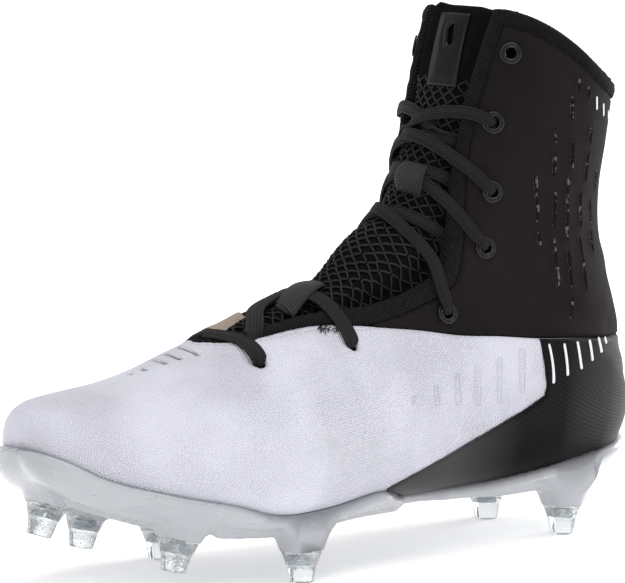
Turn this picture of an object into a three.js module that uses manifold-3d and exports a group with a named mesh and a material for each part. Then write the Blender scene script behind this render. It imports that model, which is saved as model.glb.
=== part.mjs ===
// High-top American football cleat for the left foot, in millimetres.
// +X points to the toe, +Y to the outer side of the foot, and +Z up.
import * as THREE from "three";
import { mergeVertices } from "three/addons/utils/BufferGeometryUtils.js";
import Module from "manifold-3d";

const wasm = await Module();
wasm.setup();

// Driving sizes of the shoe.
const shoeLength = 300;
const ballWidth = 95;
const heelWidth = 72;
const instepHeight = 84;
const collarRise = 112;

// Walls and seams.
const seamGap = 0.3;
const upperWall = 2.2;
const upperProud = 0.6;
const shaftWall = 3.2;
const bindingProud = 0.5;
const counterThickness = 1;
const plateSideWall = 1.6;
const plateFloor = 2.7;
const plateCorner = 2;
const tongueThickness = 3;
const tongueClearance = 1.2;
const panelThickness = 1;
const loopThickness = 1.1;
const insoleThickness = 4;

// Studs and the inserts that hold them.
const studLength = 12;
const studTopRadius = 8;
const studTipRadius = 4.7;
const bossDepth = 8.5;
const bossRim = 0.6;
const bossFlare = 4.5;
const insertHeadRadius = 4.6;
const insertHeadHeight = 4.4;
const insertStemRadius = 3;
const insertStemLength = 5;
const insertClearance = 0.3;

// Eyelets, holes and laces.
const eyeletRadius = 4.4;
const eyeletHoleRadius = 2.1;
const eyeletBarrelRadius = 2.9;
const eyeletFlange = 0.8;
const eyeletClearance = 0.3;
const punchRadius = 2.6;
const laceWidth = 6.5;
const laceThickness = 1.5;
const laceLift = upperProud + seamGap + 0.1;
const crossingLift = 0.6;

// Fineness of the faceted solids.
const ringSides = 22;
const studSides = 10;
const eyeletSides = 8;

// The bed is the underside of the foot space at the heel.
const bedHeight = studLength + bossDepth + plateFloor + upperProud + seamGap;

// A height share is 0 at the bed, 1 at the instep and 2 at the highest section.
function heightAt(share) {
  const low = Math.min(share, 1) * instepHeight;
  return bedHeight + low + Math.max(share - 1, 0) * collarRise;
}

// Sections from toe to collar, each between a point on the top line of the foot and one under or behind it.
// Columns: top x, top height, bottom x, bottom height, centre y, outer half width, inner half width,
// share of the height where it is widest, roundness above, roundness below.
// The first table's widths are shares of the ball, the second's of the heel.
const forefootSections = [
  [0.985, 0.446, 0.985, 0.363, -0.137, 0.053, 0.053, 0.5, 2.0, 2.0],
  [0.98, 0.512, 0.98, 0.31, -0.137, 0.126, 0.121, 0.45, 2.2, 2.2],
  [0.967, 0.56, 0.967, 0.262, -0.132, 0.205, 0.184, 0.4, 2.3, 2.4],
  [0.943, 0.59, 0.943, 0.208, -0.121, 0.268, 0.253, 0.36, 2.3, 2.6],
  [0.907, 0.613, 0.907, 0.155, -0.111, 0.326, 0.326, 0.34, 2.2, 2.8],
  [0.857, 0.637, 0.857, 0.095, -0.1, 0.4, 0.389, 0.32, 2.1, 3.0],
  [0.8, 0.685, 0.8, 0.045, -0.089, 0.474, 0.442, 0.3, 2.0, 3.0],
  [0.74, 0.754, 0.74, 0.012, -0.079, 0.526, 0.463, 0.28, 2.0, 3.0],
  [0.68, 0.825, 0.68, 0.0, -0.068, 0.547, 0.453, 0.27, 2.0, 3.0],
  [0.623, 0.89, 0.613, 0.002, -0.063, 0.532, 0.411, 0.26, 2.0, 3.0],
  [0.57, 0.946, 0.533, 0.014, -0.053, 0.495, 0.363, 0.26, 2.0, 3.0],
];
const heelAndShaftSections = [
  [0.527, 0.994, 0.44, 0.01, -0.056, 0.583, 0.431, 0.28, 2.0, 3.0],
  [0.49, 1.045, 0.333, 0.002, -0.042, 0.521, 0.417, 0.3, 2.0, 3.0],
  [0.46, 1.112, 0.22, -0.005, -0.028, 0.5, 0.444, 0.32, 2.0, 3.0],
  [0.435, 1.179, 0.123, 0.0, -0.014, 0.5, 0.472, 0.34, 2.0, 2.9],
  [0.415, 1.228, 0.05, 0.03, -0.007, 0.507, 0.479, 0.36, 2.0, 2.6],
  [0.4, 1.272, 0.01, 0.143, 0.0, 0.514, 0.493, 0.38, 2.0, 2.3],
  [0.388, 1.317, -0.01, 0.31, 0.0, 0.514, 0.493, 0.4, 2.0, 2.1],
  [0.378, 1.366, -0.007, 0.512, 0.0, 0.507, 0.493, 0.42, 2.0, 2.0],
  [0.368, 1.42, 0.008, 0.726, 0.0, 0.493, 0.486, 0.44, 2.0, 2.0],
  [0.357, 1.478, 0.028, 0.94, 0.0, 0.479, 0.479, 0.46, 2.0, 2.0],
  [0.345, 1.54, 0.044, 1.107, 0.0, 0.482, 0.486, 0.48, 2.0, 2.0],
  [0.335, 1.607, 0.047, 1.268, 0.0, 0.5, 0.5, 0.5, 2.0, 2.0],
  [0.325, 1.688, 0.04, 1.429, 0.0, 0.521, 0.514, 0.5, 2.0, 2.0],
  [0.313, 1.786, 0.035, 1.589, 0.0, 0.542, 0.528, 0.5, 2.0, 2.0],
  [0.297, 1.893, 0.03, 1.75, 0.0, 0.556, 0.542, 0.5, 2.0, 2.0],
  [0.277, 2.0, 0.023, 1.911, 0.0, 0.556, 0.542, 0.5, 2.0, 2.0],
];

// Lines seen from the side, heel to toe: share of the length, height share.
const whiteTopLine = [
  [-0.1, 0.643], [0.0, 0.655], [0.087, 0.677], [0.16, 0.699], [0.23, 0.715], [0.297, 0.742],
  [0.36, 0.761], [0.423, 0.798], [0.487, 0.827], [0.52, 0.842], [0.547, 0.85],
];
const collarLine = [
  [-0.067, 1.656], [0.027, 1.661], [0.087, 1.692], [0.138, 1.754], [0.188, 1.842],
  [0.222, 1.904], [0.247, 1.943], [0.263, 1.96], [0.285, 1.951],
];
const featherLine = [
  [-0.06, 0.21], [0.0, 0.185], [0.067, 0.143], [0.137, 0.107], [0.207, 0.071], [0.273, 0.048],
  [0.357, 0.039], [0.44, 0.036], [0.48, 0.071], [0.517, 0.101], [0.55, 0.095], [0.6, 0.06],
  [0.663, 0.048], [0.713, 0.071], [0.767, 0.127], [0.85, 0.194], [0.933, 0.289], [0.983, 0.393],
  [1.04, 0.44],
];
const counterFront = [
  [0.235, 0.76], [0.225, 0.607], [0.219, 0.488], [0.223, 0.429], [0.263, 0.393], [0.373, 0.29],
  [0.45, 0.143], [0.51, 0.0],
];

// Throat: section number, half angle of the free edge and of the seam behind the binding, in degrees.
const throatRows = [
  [7.45, 0, 3], [7.6, 0, 10], [7.8, 2, 14.5], [8.05, 8, 18], [8.5, 12.5, 21], [9, 15, 23.5],
  [9.6, 17.5, 27], [10.2, 21, 32], [10.8, 25, 36.5], [11.6, 31, 41], [12.6, 36.5, 44.5],
  [13.6, 39.5, 47], [14.3, 39.5, 47], [15.8, 33.5, 41.5], [17.6, 29.5, 37.5], [20.3, 28, 36],
  [22.6, 25, 34], [24, 25.5, 34.5], [26, 26, 35],
];
const throatNose = 0.35;

// Eyelets from the lowest up and the punched holes of the vamp: section number, half angle in degrees.
const eyeletPlaces = [[13.4, 53], [16.6, 48.5], [19.23, 49.5], [22.03, 45], [24.4, 44]];
const punchPlaces = [[7.85, 33], [10.3, 44]];

// Lace runs: section number and angle, from the far edge of the throat to the hole on this side.
const laceRuns = {
  lace_vamp: [[9.1, -10], [9.9, 4], [10.5, 20], [10.42, 36], [10.32, 42]],
  lace_instep: [[15.7, -22], [15.2, 6], [14.6, 31], [13.8, 44], [13.6, 47.5]],
  lace_ankle: [[18.6, -20], [18.5, 8], [17.5, 33], [16.8, 41], [16.7, 43]],
  lace_shin: [[20.5, -17], [20.3, 12], [19.8, 34], [19.4, 42], [19.3, 44]],
  lace_top: [[21.7, -17], [21.75, 4], [22.05, 19], [22.15, 33], [22.05, 38.5]],
};
const laceBarRun = [[7.85, -29], [7.75, -14], [7.85, 2], [7.75, 15], [7.8, 24], [7.83, 29]];

// Studs: name, share of the length, share of the ball width, tip height share, lean in degrees.
const studPlaces = [
  ["heel_lateral", 0.137, 0.232, 0, 0],
  ["heel_medial", 0.137, -0.232, 0, 0],
  ["ball_lateral", 0.643, 0.331, 0, 0],
  ["ball_medial", 0.683, -0.4, 0, 0],
  ["front_lateral", 0.823, 0.2, 0.101, 13],
  ["front_medial", 0.823, -0.379, 0.115, 11.4],
  ["toe", 0.947, -0.158, 0.256, 18],
];

// Ribs under the plate: section number and angle at both ends, half width in degrees, depth.
const plateRibs = [
  [[9.2, 180], [13.4, 180], 7, 3.2],
  [[8.6, 150], [13.8, 152], 6, 3],
  [[8.4, 206], [13.8, 208], 6, 3],
  [[6.4, 138], [8.3, 144], 4, 3.4],
  [[6.0, 216], [7.7, 218], 4, 3.4],
  [[3.4, 166], [5.4, 152], 5, 2.6],
  [[3.4, 196], [5.4, 212], 5, 2.6],
];

function sectionRow(row, width) {
  const [topX, topZ, bottomX, bottomZ, centre, outer, inner, widest, above, below] = row;
  return [
    topX * shoeLength, heightAt(topZ), bottomX * shoeLength, heightAt(bottomZ),
    centre * width, outer * width, inner * width, widest, above, below,
  ];
}

const sections = [
  ...forefootSections.map((row) => sectionRow(row, ballWidth)),
  ...heelAndShaftSections.map((row) => sectionRow(row, heelWidth)),
];
const lastSection = sections.length - 1;

function smoothBetween(p0, p1, p2, p3, t) {
  const a = -p0 + 3 * p1 - 3 * p2 + p3;
  const b = 2 * p0 - 5 * p1 + 4 * p2 - p3;
  return 0.5 * (2 * p1 + (p2 - p0) * t + b * t * t + a * t * t * t);
}

function sectionAt(place) {
  const s = Math.min(Math.max(place, 0), lastSection);
  const i = Math.min(Math.floor(s), lastSection - 1);
  const before = sections[Math.max(i - 1, 0)];
  const after = sections[Math.min(i + 2, lastSection)];
  return sections[i].map((value, k) => smoothBetween(before[k], value, sections[i + 1][k], after[k], s - i));
}

// A point of the foot form, at a section and an angle from its top line towards the outer side.
function formPoint(place, angle) {
  const [topX, topZ, bottomX, bottomZ, centre, outer, inner, widest, above, below] = sectionAt(place);
  const up = Math.cos(angle);
  const side = Math.sin(angle);
  const power = 2 / (up >= 0 ? above : below);
  const reach = Math.abs(up) ** power;
  const rise = up >= 0 ? widest + (1 - widest) * reach : widest - widest * reach;
  const out = (side >= 0 ? outer : -inner) * Math.abs(side) ** power;
  return new THREE.Vector3(bottomX + (topX - bottomX) * rise, centre + out, bottomZ + (topZ - bottomZ) * rise);
}

function formNormal(place, angle) {
  const step = 0.02;
  const along = formPoint(Math.min(place + step, lastSection), angle);
  along.sub(formPoint(Math.max(place - step, 0), angle));
  const round = formPoint(place, angle + step).sub(formPoint(place, angle - step));
  return round.cross(along).normalize();
}

function formOffset(place, angle, offset) {
  return formPoint(place, angle).addScaledVector(formNormal(place, angle), offset);
}

const radians = THREE.MathUtils.degToRad;

// Reads a value from rows of a table whose first column rises.
function readRows(rows, key, column) {
  const last = rows.length - 1;
  if (key <= rows[0][0]) return rows[0][column];
  if (key >= rows[last][0]) return rows[last][column];
  const i = rows.findIndex((row) => row[0] > key);
  const share = (key - rows[i - 1][0]) / (rows[i][0] - rows[i - 1][0]);
  return rows[i - 1][column] + share * (rows[i][column] - rows[i - 1][column]);
}

const freeEdgeAngle = (place) => radians(readRows(throatRows, place, 1));
const seamAngle = (place) => radians(readRows(throatRows, place, 2));

// Solids: closed meshes that are cut and joined.
function toSolid(geometry) {
  const bare = geometry.clone();
  bare.deleteAttribute("normal");
  bare.deleteAttribute("uv");
  const merged = mergeVertices(bare, 1e-4);
  const points = merged.attributes.position.array;
  const faces = new Uint32Array(merged.index.array);
  const solid = new wasm.Manifold(new wasm.Mesh({ numProp: 3, vertProperties: points, triVerts: faces }));
  if (solid.volume() > 0) return solid;
  for (let i = 0; i < faces.length; i += 3) [faces[i], faces[i + 1]] = [faces[i + 1], faces[i]];
  return new wasm.Manifold(new wasm.Mesh({ numProp: 3, vertProperties: points, triVerts: faces }));
}

function geometryOf(points, faces) {
  const geometry = new THREE.BufferGeometry().setFromPoints(points);
  geometry.setIndex(faces);
  return geometry;
}

// Closed skin through rings of points, with a fan at each end.
function loftSolid(rings) {
  const count = rings[0].length;
  const points = rings.flat();
  const faces = [];
  for (let i = 0; i + 1 < rings.length; i++) {
    for (let j = 0; j < count; j++) {
      const next = (j + 1) % count;
      const [a, b] = [i * count + j, i * count + next];
      faces.push(a, b, b + count, a, b + count, a + count);
    }
  }
  for (const [first, turn] of [[0, true], [points.length - count, false]]) {
    const middle = new THREE.Vector3();
    for (let j = 0; j < count; j++) middle.addScaledVector(points[first + j], 1 / count);
    points.push(middle);
    const centre = points.length - 1;
    for (let j = 0; j < count; j++) {
      const next = (j + 1) % count;
      if (turn) faces.push(first + next, first + j, centre);
      else faces.push(first + j, first + next, centre);
    }
  }
  return toSolid(geometryOf(points, faces));
}

// Slab over a grid of the form: each of its rows becomes a ring that runs out over the top and back beneath.
function slabSolid(places, anglesAt, topAt, bottomAt) {
  const rings = places.map((place) => {
    const angles = anglesAt(place);
    const over = angles.map((angle) => formOffset(place, angle, topAt(place, angle)));
    const under = angles.map((angle) => formOffset(place, angle, bottomAt(place, angle)));
    return [...over, ...under.reverse()];
  });
  return loftSolid(rings);
}

function range(from, to, count) {
  return Array.from({ length: count + 1 }, (_, i) => from + ((to - from) * i) / count);
}

function spread(halfAngle, count, middle = 0) {
  return range(middle - halfAngle, middle + halfAngle, count);
}

// The whole form grown by an offset, which may follow the angle round it.
const formPlaces = [
  0, 0.7, 1.5, 2.7, 4, 5.5, 7, 8.5, 10, 11, 12, 13, 14, 15, 16, 17, 18.2, 20, 22, 24, 26,
];
const ringAngles = Array.from({ length: ringSides }, (_, j) => (2 * Math.PI * j) / ringSides);

function formSolid(offsetAt) {
  return loftSolid(formPlaces.map((place) => ringAngles.map((angle) => formOffset(place, angle, offsetAt(angle)))));
}

// Prism across the shoe from a line seen from the side, closed by further points in millimetres.
function acrossSolid(line, shift, closing) {
  const shape = new THREE.Shape();
  const corners = line.map(([x, share]) => [x * shoeLength, heightAt(share) + shift]);
  [...corners, ...closing].forEach(([x, z], i) => (i ? shape.lineTo(x, z) : shape.moveTo(x, z)));
  const prism = new THREE.ExtrudeGeometry(shape, { depth: 2 * ballWidth, bevelEnabled: false });
  prism.rotateX(Math.PI / 2).translate(0, ballWidth, 0);
  return toSolid(prism);
}

const farHeel = -0.4 * shoeLength;
const farToe = 1.4 * shoeLength;
const farUp = heightAt(2.6);
const farDown = -0.4 * instepHeight;

function aboveTopLine(shift) {
  const throatEnd = [0.64 * shoeLength, heightAt(1.3)];
  return acrossSolid(whiteTopLine, shift, [throatEnd, [0.64 * shoeLength, farUp], [farHeel, farUp], [farHeel, heightAt(0.643) + shift]]);
}

function aboveCollar(shift) {
  return acrossSolid(collarLine, shift, [[farToe, heightAt(1.951) + shift], [farToe, farUp], [farHeel, farUp], [farHeel, heightAt(1.656) + shift]]);
}

function belowFeather(shift) {
  return acrossSolid(featherLine, shift, [[farToe, heightAt(0.44) + shift], [farToe, farDown], [farHeel, farDown], [farHeel, heightAt(0.21) + shift]]);
}

function counterRegion() {
  return acrossSolid(counterFront, 0, [[farHeel, heightAt(0)], [farHeel, heightAt(0.76)]]);
}

// Cutter through the wall along the throat, up to an angle each side and out past the collar.
function throatCutter(angleAt, from, widen) {
  const reach = 8;
  const places = [from, from + 0.12, ...throatRows.map((row) => row[0]).filter((place) => place > from + 0.2)];
  const anglesAt = (place) => spread(angleAt(place) + widen, 8);
  return slabSolid(places, anglesAt, () => reach, () => -reach);
}

const seamHalfAngle = radians(0.4);
const throatFront = throatRows[0][0];
const throatWide = throatCutter(seamAngle, throatFront, seamHalfAngle);
const throatTight = throatCutter(seamAngle, throatFront + 0.02, -seamHalfAngle);
const throatOpen = throatCutter((place) => Math.max(freeEdgeAngle(place), radians(1)), throatFront + throatNose, 0);

// A turned piece: its axis runs through a point of the form, square to it.
function onForm(profile, sides, place, angle, offset) {
  const turned = new THREE.LatheGeometry(profile.map(([r, h]) => new THREE.Vector2(r, h)), sides);
  const normal = formNormal(place, angle);
  const turn = new THREE.Quaternion().setFromUnitVectors(new THREE.Vector3(0, 1, 0), normal);
  const at = formOffset(place, angle, offset);
  turned.applyMatrix4(new THREE.Matrix4().compose(at, turn, new THREE.Vector3(1, 1, 1)));
  return toSolid(turned);
}

function rod(radius, low, high) {
  return [[0, low], [radius, low], [radius, high], [0, high]];
}

const bothSides = [["lateral", 1], ["medial", -1]];

function cutHoles(solid, places, radius) {
  let cut = solid;
  for (const [, side] of bothSides) {
    for (const [place, angle] of places) {
      cut = cut.subtract(onForm(rod(radius, -8, 8), eyeletSides, place, side * radians(angle), 0));
    }
  }
  return cut;
}

// Upper: white shell with a step for the counter, open under the foot, at the throat and at the top.
const plugAngle = radians(38);

function underFoot(halfAngle, from, to, top, bottom) {
  const places = [from, ...formPlaces.filter((place) => place > from + 0.2 && place < to - 0.2), to];
  return slabSolid(places, () => spread(halfAngle, 4, Math.PI), () => top, () => bottom);
}

function makeUpper() {
  let shell = formSolid(() => upperProud).subtract(formSolid(() => upperProud - upperWall));
  shell = shell.subtract(aboveTopLine(-seamGap / 2)).subtract(throatWide);
  shell = shell.subtract(underFoot(plugAngle, 1.8, 15.2, 4, -6));
  return cutHoles(shell, punchPlaces, punchRadius);
}

const sleeveOuter = () => 0;
const shaftShell = formSolid(sleeveOuter).subtract(formSolid(() => -shaftWall));
const collarBand = 6.5;

function makeShaft() {
  let shell = shaftShell.intersect(aboveTopLine(seamGap / 2)).subtract(throatWide);
  shell = shell.subtract(aboveCollar(-collarBand));
  return cutHoles(shell, eyeletPlaces, eyeletBarrelRadius + eyeletClearance);
}

function makeBinding() {
  const band = formSolid(() => bindingProud).subtract(formSolid(() => -shaftWall));
  const region = throatTight.add(aboveCollar(seamGap - collarBand).intersect(aboveTopLine(0)));
  return band.intersect(region).subtract(throatOpen).subtract(aboveCollar(0));
}

function makeCounter() {
  const inner = upperProud + seamGap;
  const overlay = formSolid(() => inner + counterThickness).subtract(formSolid(() => inner));
  const below = belowFeather(seamGap);
  return overlay.intersect(counterRegion()).subtract(below).subtract(aboveTopLine(-seamGap / 2));
}

// Tongue: a padded leaf under the flaps that swells up between them.
const tongueFrom = 6.9;
const tongueTop = 25.7;
const tuck = radians(9);
const swellEdge = radians(8);

function tongueTopAt(place, angle) {
  const low = -shaftWall - tongueClearance;
  const room = freeEdgeAngle(place) - Math.abs(angle) - radians(2.5);
  const share = Math.min(Math.max(room / swellEdge, 0), 1);
  return low + (shaftWall - 0.6) * share * share * (3 - 2 * share);
}

const tonguePlaces = [
  tongueFrom, 7.6, 8.3, 9, 10, 11, 12, 13, 14, 15, 16, 17, 18, 19.3, 20.6, 22, 23.5, 25, tongueTop,
];

function tongueAngles(place) {
  const edge = freeEdgeAngle(place);
  const half = Math.max(edge, radians(14)) + tuck;
  const inside = [edge - radians(2.5), edge - radians(6), edge - radians(10)].filter((angle) => angle > radians(2));
  const side = [half, ...inside];
  while (side.length < 4) side.push(side[side.length - 1] * 0.5);
  return [...side.map((angle) => -angle), 0, ...side.reverse()];
}

function makeTongue() {
  return slabSolid(tonguePlaces, tongueAngles, tongueTopAt, (place, angle) => tongueTopAt(place, angle) - tongueThickness);
}

function patchOnTongue(from, to, halfAngle, middle, thickness, rows) {
  const under = (place, angle) => tongueTopAt(place, angle) + 2 * seamGap;
  const over = (place, angle) => tongueTopAt(place, angle) + 2 * seamGap + thickness;
  return slabSolid(range(from, to, rows), () => spread(halfAngle, 4, middle), over, under);
}

// Insole: fills the opening under the foot and rests on the plate.
function makeInsole() {
  const plug = underFoot(plugAngle - radians(2), 2, 15, 0.2, -insoleThickness);
  const inside = upperProud - upperWall - 2 * seamGap;
  const bed = underFoot(radians(48), 2.7, 15, inside, -insoleThickness);
  return plug.add(bed);
}

// Plate: a cup under the foot with a boss for each stud, ribs and a bore for each insert.
const plateInner = upperProud + seamGap;

function plateOuter(angle) {
  const under = Math.min(Math.max(-Math.cos(angle) * 1.6, 0), 1);
  const corner = Math.cos(angle) < 0 ? Math.sin(2 * angle) ** 2 : 0;
  return plateInner + plateSideWall + (plateFloor - plateSideWall) * under + plateCorner * corner;
}

function studFrame([, alongShare, acrossShare, tipShare, lean]) {
  const tilt = radians(lean);
  const tipHeight = Math.min(tipShare, 1) * instepHeight;
  const tip = new THREE.Vector3(alongShare * shoeLength, acrossShare * ballWidth, tipHeight);
  const turn = new THREE.Quaternion().setFromAxisAngle(new THREE.Vector3(0, 1, 0), -tilt);
  return new THREE.Matrix4().compose(tip, turn, new THREE.Vector3(1, 1, 1));
}

// A turned piece whose axis rises from the tip of a stud.
function onStud(profile, sides, stud) {
  const turned = new THREE.LatheGeometry(profile.map(([r, h]) => new THREE.Vector2(r, h)), sides);
  turned.rotateX(Math.PI / 2).applyMatrix4(studFrame(stud));
  return toSolid(turned);
}

function bossProfile() {
  const low = studLength + seamGap;
  const rim = studTopRadius + bossRim;
  const high = studLength + bossDepth + plateFloor;
  return [
    [0, low], [rim, low], [rim + 0.7, low + 0.25 * bossDepth], [rim + 0.4 * bossFlare, low + 0.6 * bossDepth],
    [rim + bossFlare, high], [0, high],
  ];
}

function plateRib([[fromPlace, fromAngle], [toPlace, toAngle], half, depth]) {
  const places = range(fromPlace, toPlace, 5);
  const anglesAt = (place) => {
    const share = (place - fromPlace) / (toPlace - fromPlace);
    return spread(radians(half), 1, radians(fromAngle + (toAngle - fromAngle) * share));
  };
  return slabSolid(places, anglesAt, (place, angle) => plateOuter(angle) + depth, () => plateInner);
}

function makePlate() {
  let plate = formSolid(plateOuter);
  for (const stud of studPlaces) plate = plate.add(onStud(bossProfile(), studSides, stud));
  for (const rib of plateRibs) plate = plate.add(plateRib(rib));
  plate = plate.intersect(belowFeather(0)).subtract(formSolid(() => plateInner));
  const bore = rod(insertStemRadius + insertClearance, 0, studLength + insertStemLength + insertClearance);
  for (const stud of studPlaces) plate = plate.subtract(onStud(bore, studSides, stud));
  return plate;
}

function makeStud(stud) {
  const cup = studLength - insertHeadHeight - insertClearance;
  const cupRadius = insertHeadRadius + insertClearance;
  return onStud(
    [
      [0, 0], [studTipRadius, 0], [studTipRadius + 0.35 * (studTopRadius - studTipRadius), 0.5 * studLength],
      [studTopRadius, studLength], [cupRadius, studLength], [cupRadius, cup], [0, cup],
    ],
    studSides,
    stud,
  );
}

function makeInsert(stud) {
  const low = studLength - insertHeadHeight;
  return onStud(
    [
      [0, low], [insertHeadRadius, low], [insertHeadRadius, studLength], [insertStemRadius, studLength],
      [insertStemRadius, studLength + insertStemLength], [0, studLength + insertStemLength],
    ],
    studSides,
    stud,
  );
}

function makeEyelet(place, angle) {
  const top = seamGap + 0.3 + eyeletFlange;
  return onForm(
    [
      [eyeletHoleRadius, -shaftWall], [eyeletBarrelRadius, -shaftWall], [eyeletBarrelRadius, top - eyeletFlange],
      [eyeletRadius, top - eyeletFlange], [eyeletHoleRadius, top], [eyeletHoleRadius, -shaftWall],
    ],
    eyeletSides,
    place,
    angle,
    0,
  );
}

// Laces: flat bars over the throat, each pair joined where it crosses.
function laceBar(run, side, lift) {
  const along = new THREE.CatmullRomCurve3(run.map(([place, angle]) => new THREE.Vector3(place, side * radians(angle), 0)));
  const rings = along.getPoints(6).map((at, i, all) => {
    const before = all[Math.max(i - 1, 0)];
    const after = all[Math.min(i + 1, all.length - 1)];
    const ahead = formPoint(after.x, after.y).sub(formPoint(before.x, before.y)).normalize();
    const normal = formNormal(at.x, at.y);
    const across = ahead.clone().cross(normal).normalize().multiplyScalar(laceWidth / 2);
    const low = formOffset(at.x, at.y, lift);
    const high = formOffset(at.x, at.y, lift + laceThickness);
    return [low.clone().sub(across), low.clone().add(across), high.clone().add(across), high.clone().sub(across)];
  });
  return loftSolid(rings);
}

// Nodes.
const shoe = new THREE.Group();

function addNode(name, solid, look) {
  const mesh = solid.getMesh();
  const geometry = new THREE.BufferGeometry();
  geometry.setAttribute("position", new THREE.BufferAttribute(mesh.vertProperties, 3));
  geometry.setIndex(new THREE.BufferAttribute(mesh.triVerts, 1));
  geometry.computeVertexNormals();
  const node = new THREE.Mesh(geometry, new THREE.MeshStandardMaterial(look));
  node.name = name;
  shoe.add(node);
}

const mouldedWhite = { color: 0xe9e9f0, roughness: 0.55, metalness: 0 };
const counterBlack = { color: 0x232225, roughness: 0.4, metalness: 0 };
const textileBlack = { color: 0x231f20, roughness: 0.9, metalness: 0 };
const bindingBlack = { color: 0x1b1a1c, roughness: 0.85, metalness: 0 };
const meshBlack = { color: 0x2a292b, roughness: 0.95, metalness: 0 };
const laceBlack = { color: 0x262527, roughness: 0.8, metalness: 0 };
const clearPlate = { color: 0xdfe1e6, roughness: 0.3, metalness: 0 };
const clearStud = { color: 0xe6ebee, roughness: 0.15, metalness: 0 };
const steel = { color: 0xb9bcc0, roughness: 0.3, metalness: 1 };
const ringBlack = { color: 0x2b2b2d, roughness: 0.35, metalness: 0 };
const foamGrey = { color: 0x3a3a3d, roughness: 0.9, metalness: 0 };

addNode("outsole_plate", makePlate(), clearPlate);
for (const stud of studPlaces) {
  addNode("stud_" + stud[0], makeStud(stud), clearStud);
  addNode("insert_" + stud[0], makeInsert(stud), steel);
}
addNode("insole", makeInsole(), foamGrey);
addNode("upper", makeUpper(), mouldedWhite);
addNode("heel_counter", makeCounter(), counterBlack);
addNode("shaft", makeShaft(), textileBlack);
addNode("throat_and_collar_binding", makeBinding(), bindingBlack);
addNode("tongue", makeTongue(), meshBlack);
addNode("tongue_panel", patchOnTongue(23.1, 25.5, radians(14), 0, panelThickness, 3), textileBlack);
addNode("tongue_loop_upper", patchOnTongue(16.4, 17.5, radians(12), radians(3), loopThickness, 2), laceBlack);
addNode("tongue_loop_lower", patchOnTongue(11.5, 12.6, radians(14), 0, loopThickness, 2), laceBlack);
for (const [side, sign] of bothSides) {
  eyeletPlaces.forEach(([place, angle], i) => {
    addNode("eyelet_" + side + "_" + (i + 1), makeEyelet(place, sign * radians(angle)), ringBlack);
  });
}
addNode("lace_bar", laceBar(laceBarRun, 1, laceLift), laceBlack);
for (const [name, run] of Object.entries(laceRuns)) {
  addNode(name, laceBar(run, 1, laceLift + crossingLift).add(laceBar(run, -1, laceLift)), laceBlack);
}

// The origin is the middle of the standing shoe's box, on the ground.
const box = new THREE.Box3().setFromObject(shoe);
shoe.position.set(-(box.min.x + box.max.x) / 2, -(box.min.y + box.max.y) / 2, -box.min.z);
const part = new THREE.Group();
part.name = "football_cleat";
part.add(shoe);

export default part;
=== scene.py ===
import math

import bmesh
import bpy
import numpy as np
from mathutils import Matrix, Vector
from mathutils.kdtree import KDTree


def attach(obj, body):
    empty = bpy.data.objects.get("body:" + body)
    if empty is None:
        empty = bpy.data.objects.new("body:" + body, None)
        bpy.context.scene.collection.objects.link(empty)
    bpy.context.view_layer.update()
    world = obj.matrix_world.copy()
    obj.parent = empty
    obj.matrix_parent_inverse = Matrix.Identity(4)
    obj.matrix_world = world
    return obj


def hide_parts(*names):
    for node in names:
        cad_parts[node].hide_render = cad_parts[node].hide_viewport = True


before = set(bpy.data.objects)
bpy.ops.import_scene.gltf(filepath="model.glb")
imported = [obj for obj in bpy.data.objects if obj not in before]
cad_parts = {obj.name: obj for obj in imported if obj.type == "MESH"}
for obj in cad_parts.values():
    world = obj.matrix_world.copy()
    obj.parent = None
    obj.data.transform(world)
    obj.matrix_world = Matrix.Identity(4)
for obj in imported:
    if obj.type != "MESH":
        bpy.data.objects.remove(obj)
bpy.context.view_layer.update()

# Camera: a long lens at the height of the shin, aimed so that the shoe falls where the photograph has it.
photoCamera = {
    "target": (0.0020, 0.00356, 0.080), "targetPixel": (331.0, 356.0),  # where that point falls in the picture
    "turn": 42.5, "rise": 8.0, "roll": 0.7, "distance": 1.6, "clipEnd": 30.0,
    "focalPixels": 4068.8, "imageWidth": 625, "imageHeight": 583, "sensor": 36.0,
}


def makeCamera(values):
    turn, rise, roll = (math.radians(values[k]) for k in ("turn", "rise", "roll"))
    back = Vector((math.sin(turn) * math.cos(rise), math.cos(turn) * math.cos(rise), math.sin(rise)))
    right = (-back).cross(Vector((0, 0, 1))).normalized()
    up = right.cross(-back)
    across = right * math.cos(roll) + up * math.sin(roll)
    above = up * math.cos(roll) - right * math.sin(roll)
    place = Vector(values["target"]) + back * values["distance"]
    column, row = values["targetPixel"]
    sideways = (values["imageWidth"] / 2 - column) / values["focalPixels"]
    upwards = (row - values["imageHeight"] / 2) / values["focalPixels"]
    behind = (back - across * sideways - above * upwards).normalized()
    across = (across - behind * across.dot(behind)).normalized()
    above = behind.cross(across)
    bpy.ops.object.camera_add(location=place)
    camera = bpy.context.object
    camera.name = "photoCamera"
    turnMatrix = Matrix((across, above, behind)).transposed()
    camera.matrix_world = Matrix.Translation(place) @ turnMatrix.to_4x4()
    camera.data.sensor_width = values["sensor"]
    camera.data.lens = values["focalPixels"] / values["imageWidth"] * values["sensor"]
    camera.data.clip_end = values["clipEnd"]
    bpy.context.scene.camera = camera


makeCamera(photoCamera)
print("camera placed")

# The form of the shoe in millimetres: heel to toe along X, outer side along Y.
shoe = {
    "length": 300.0, "ball": 95.0, "heel": 72.0, "instep": 84.0, "collar": 112.0, "bed": 24.1,
    "shift": (-148.0039, 3.5638, 0.0),  # from the heel's own origin to the frame
}

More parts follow.
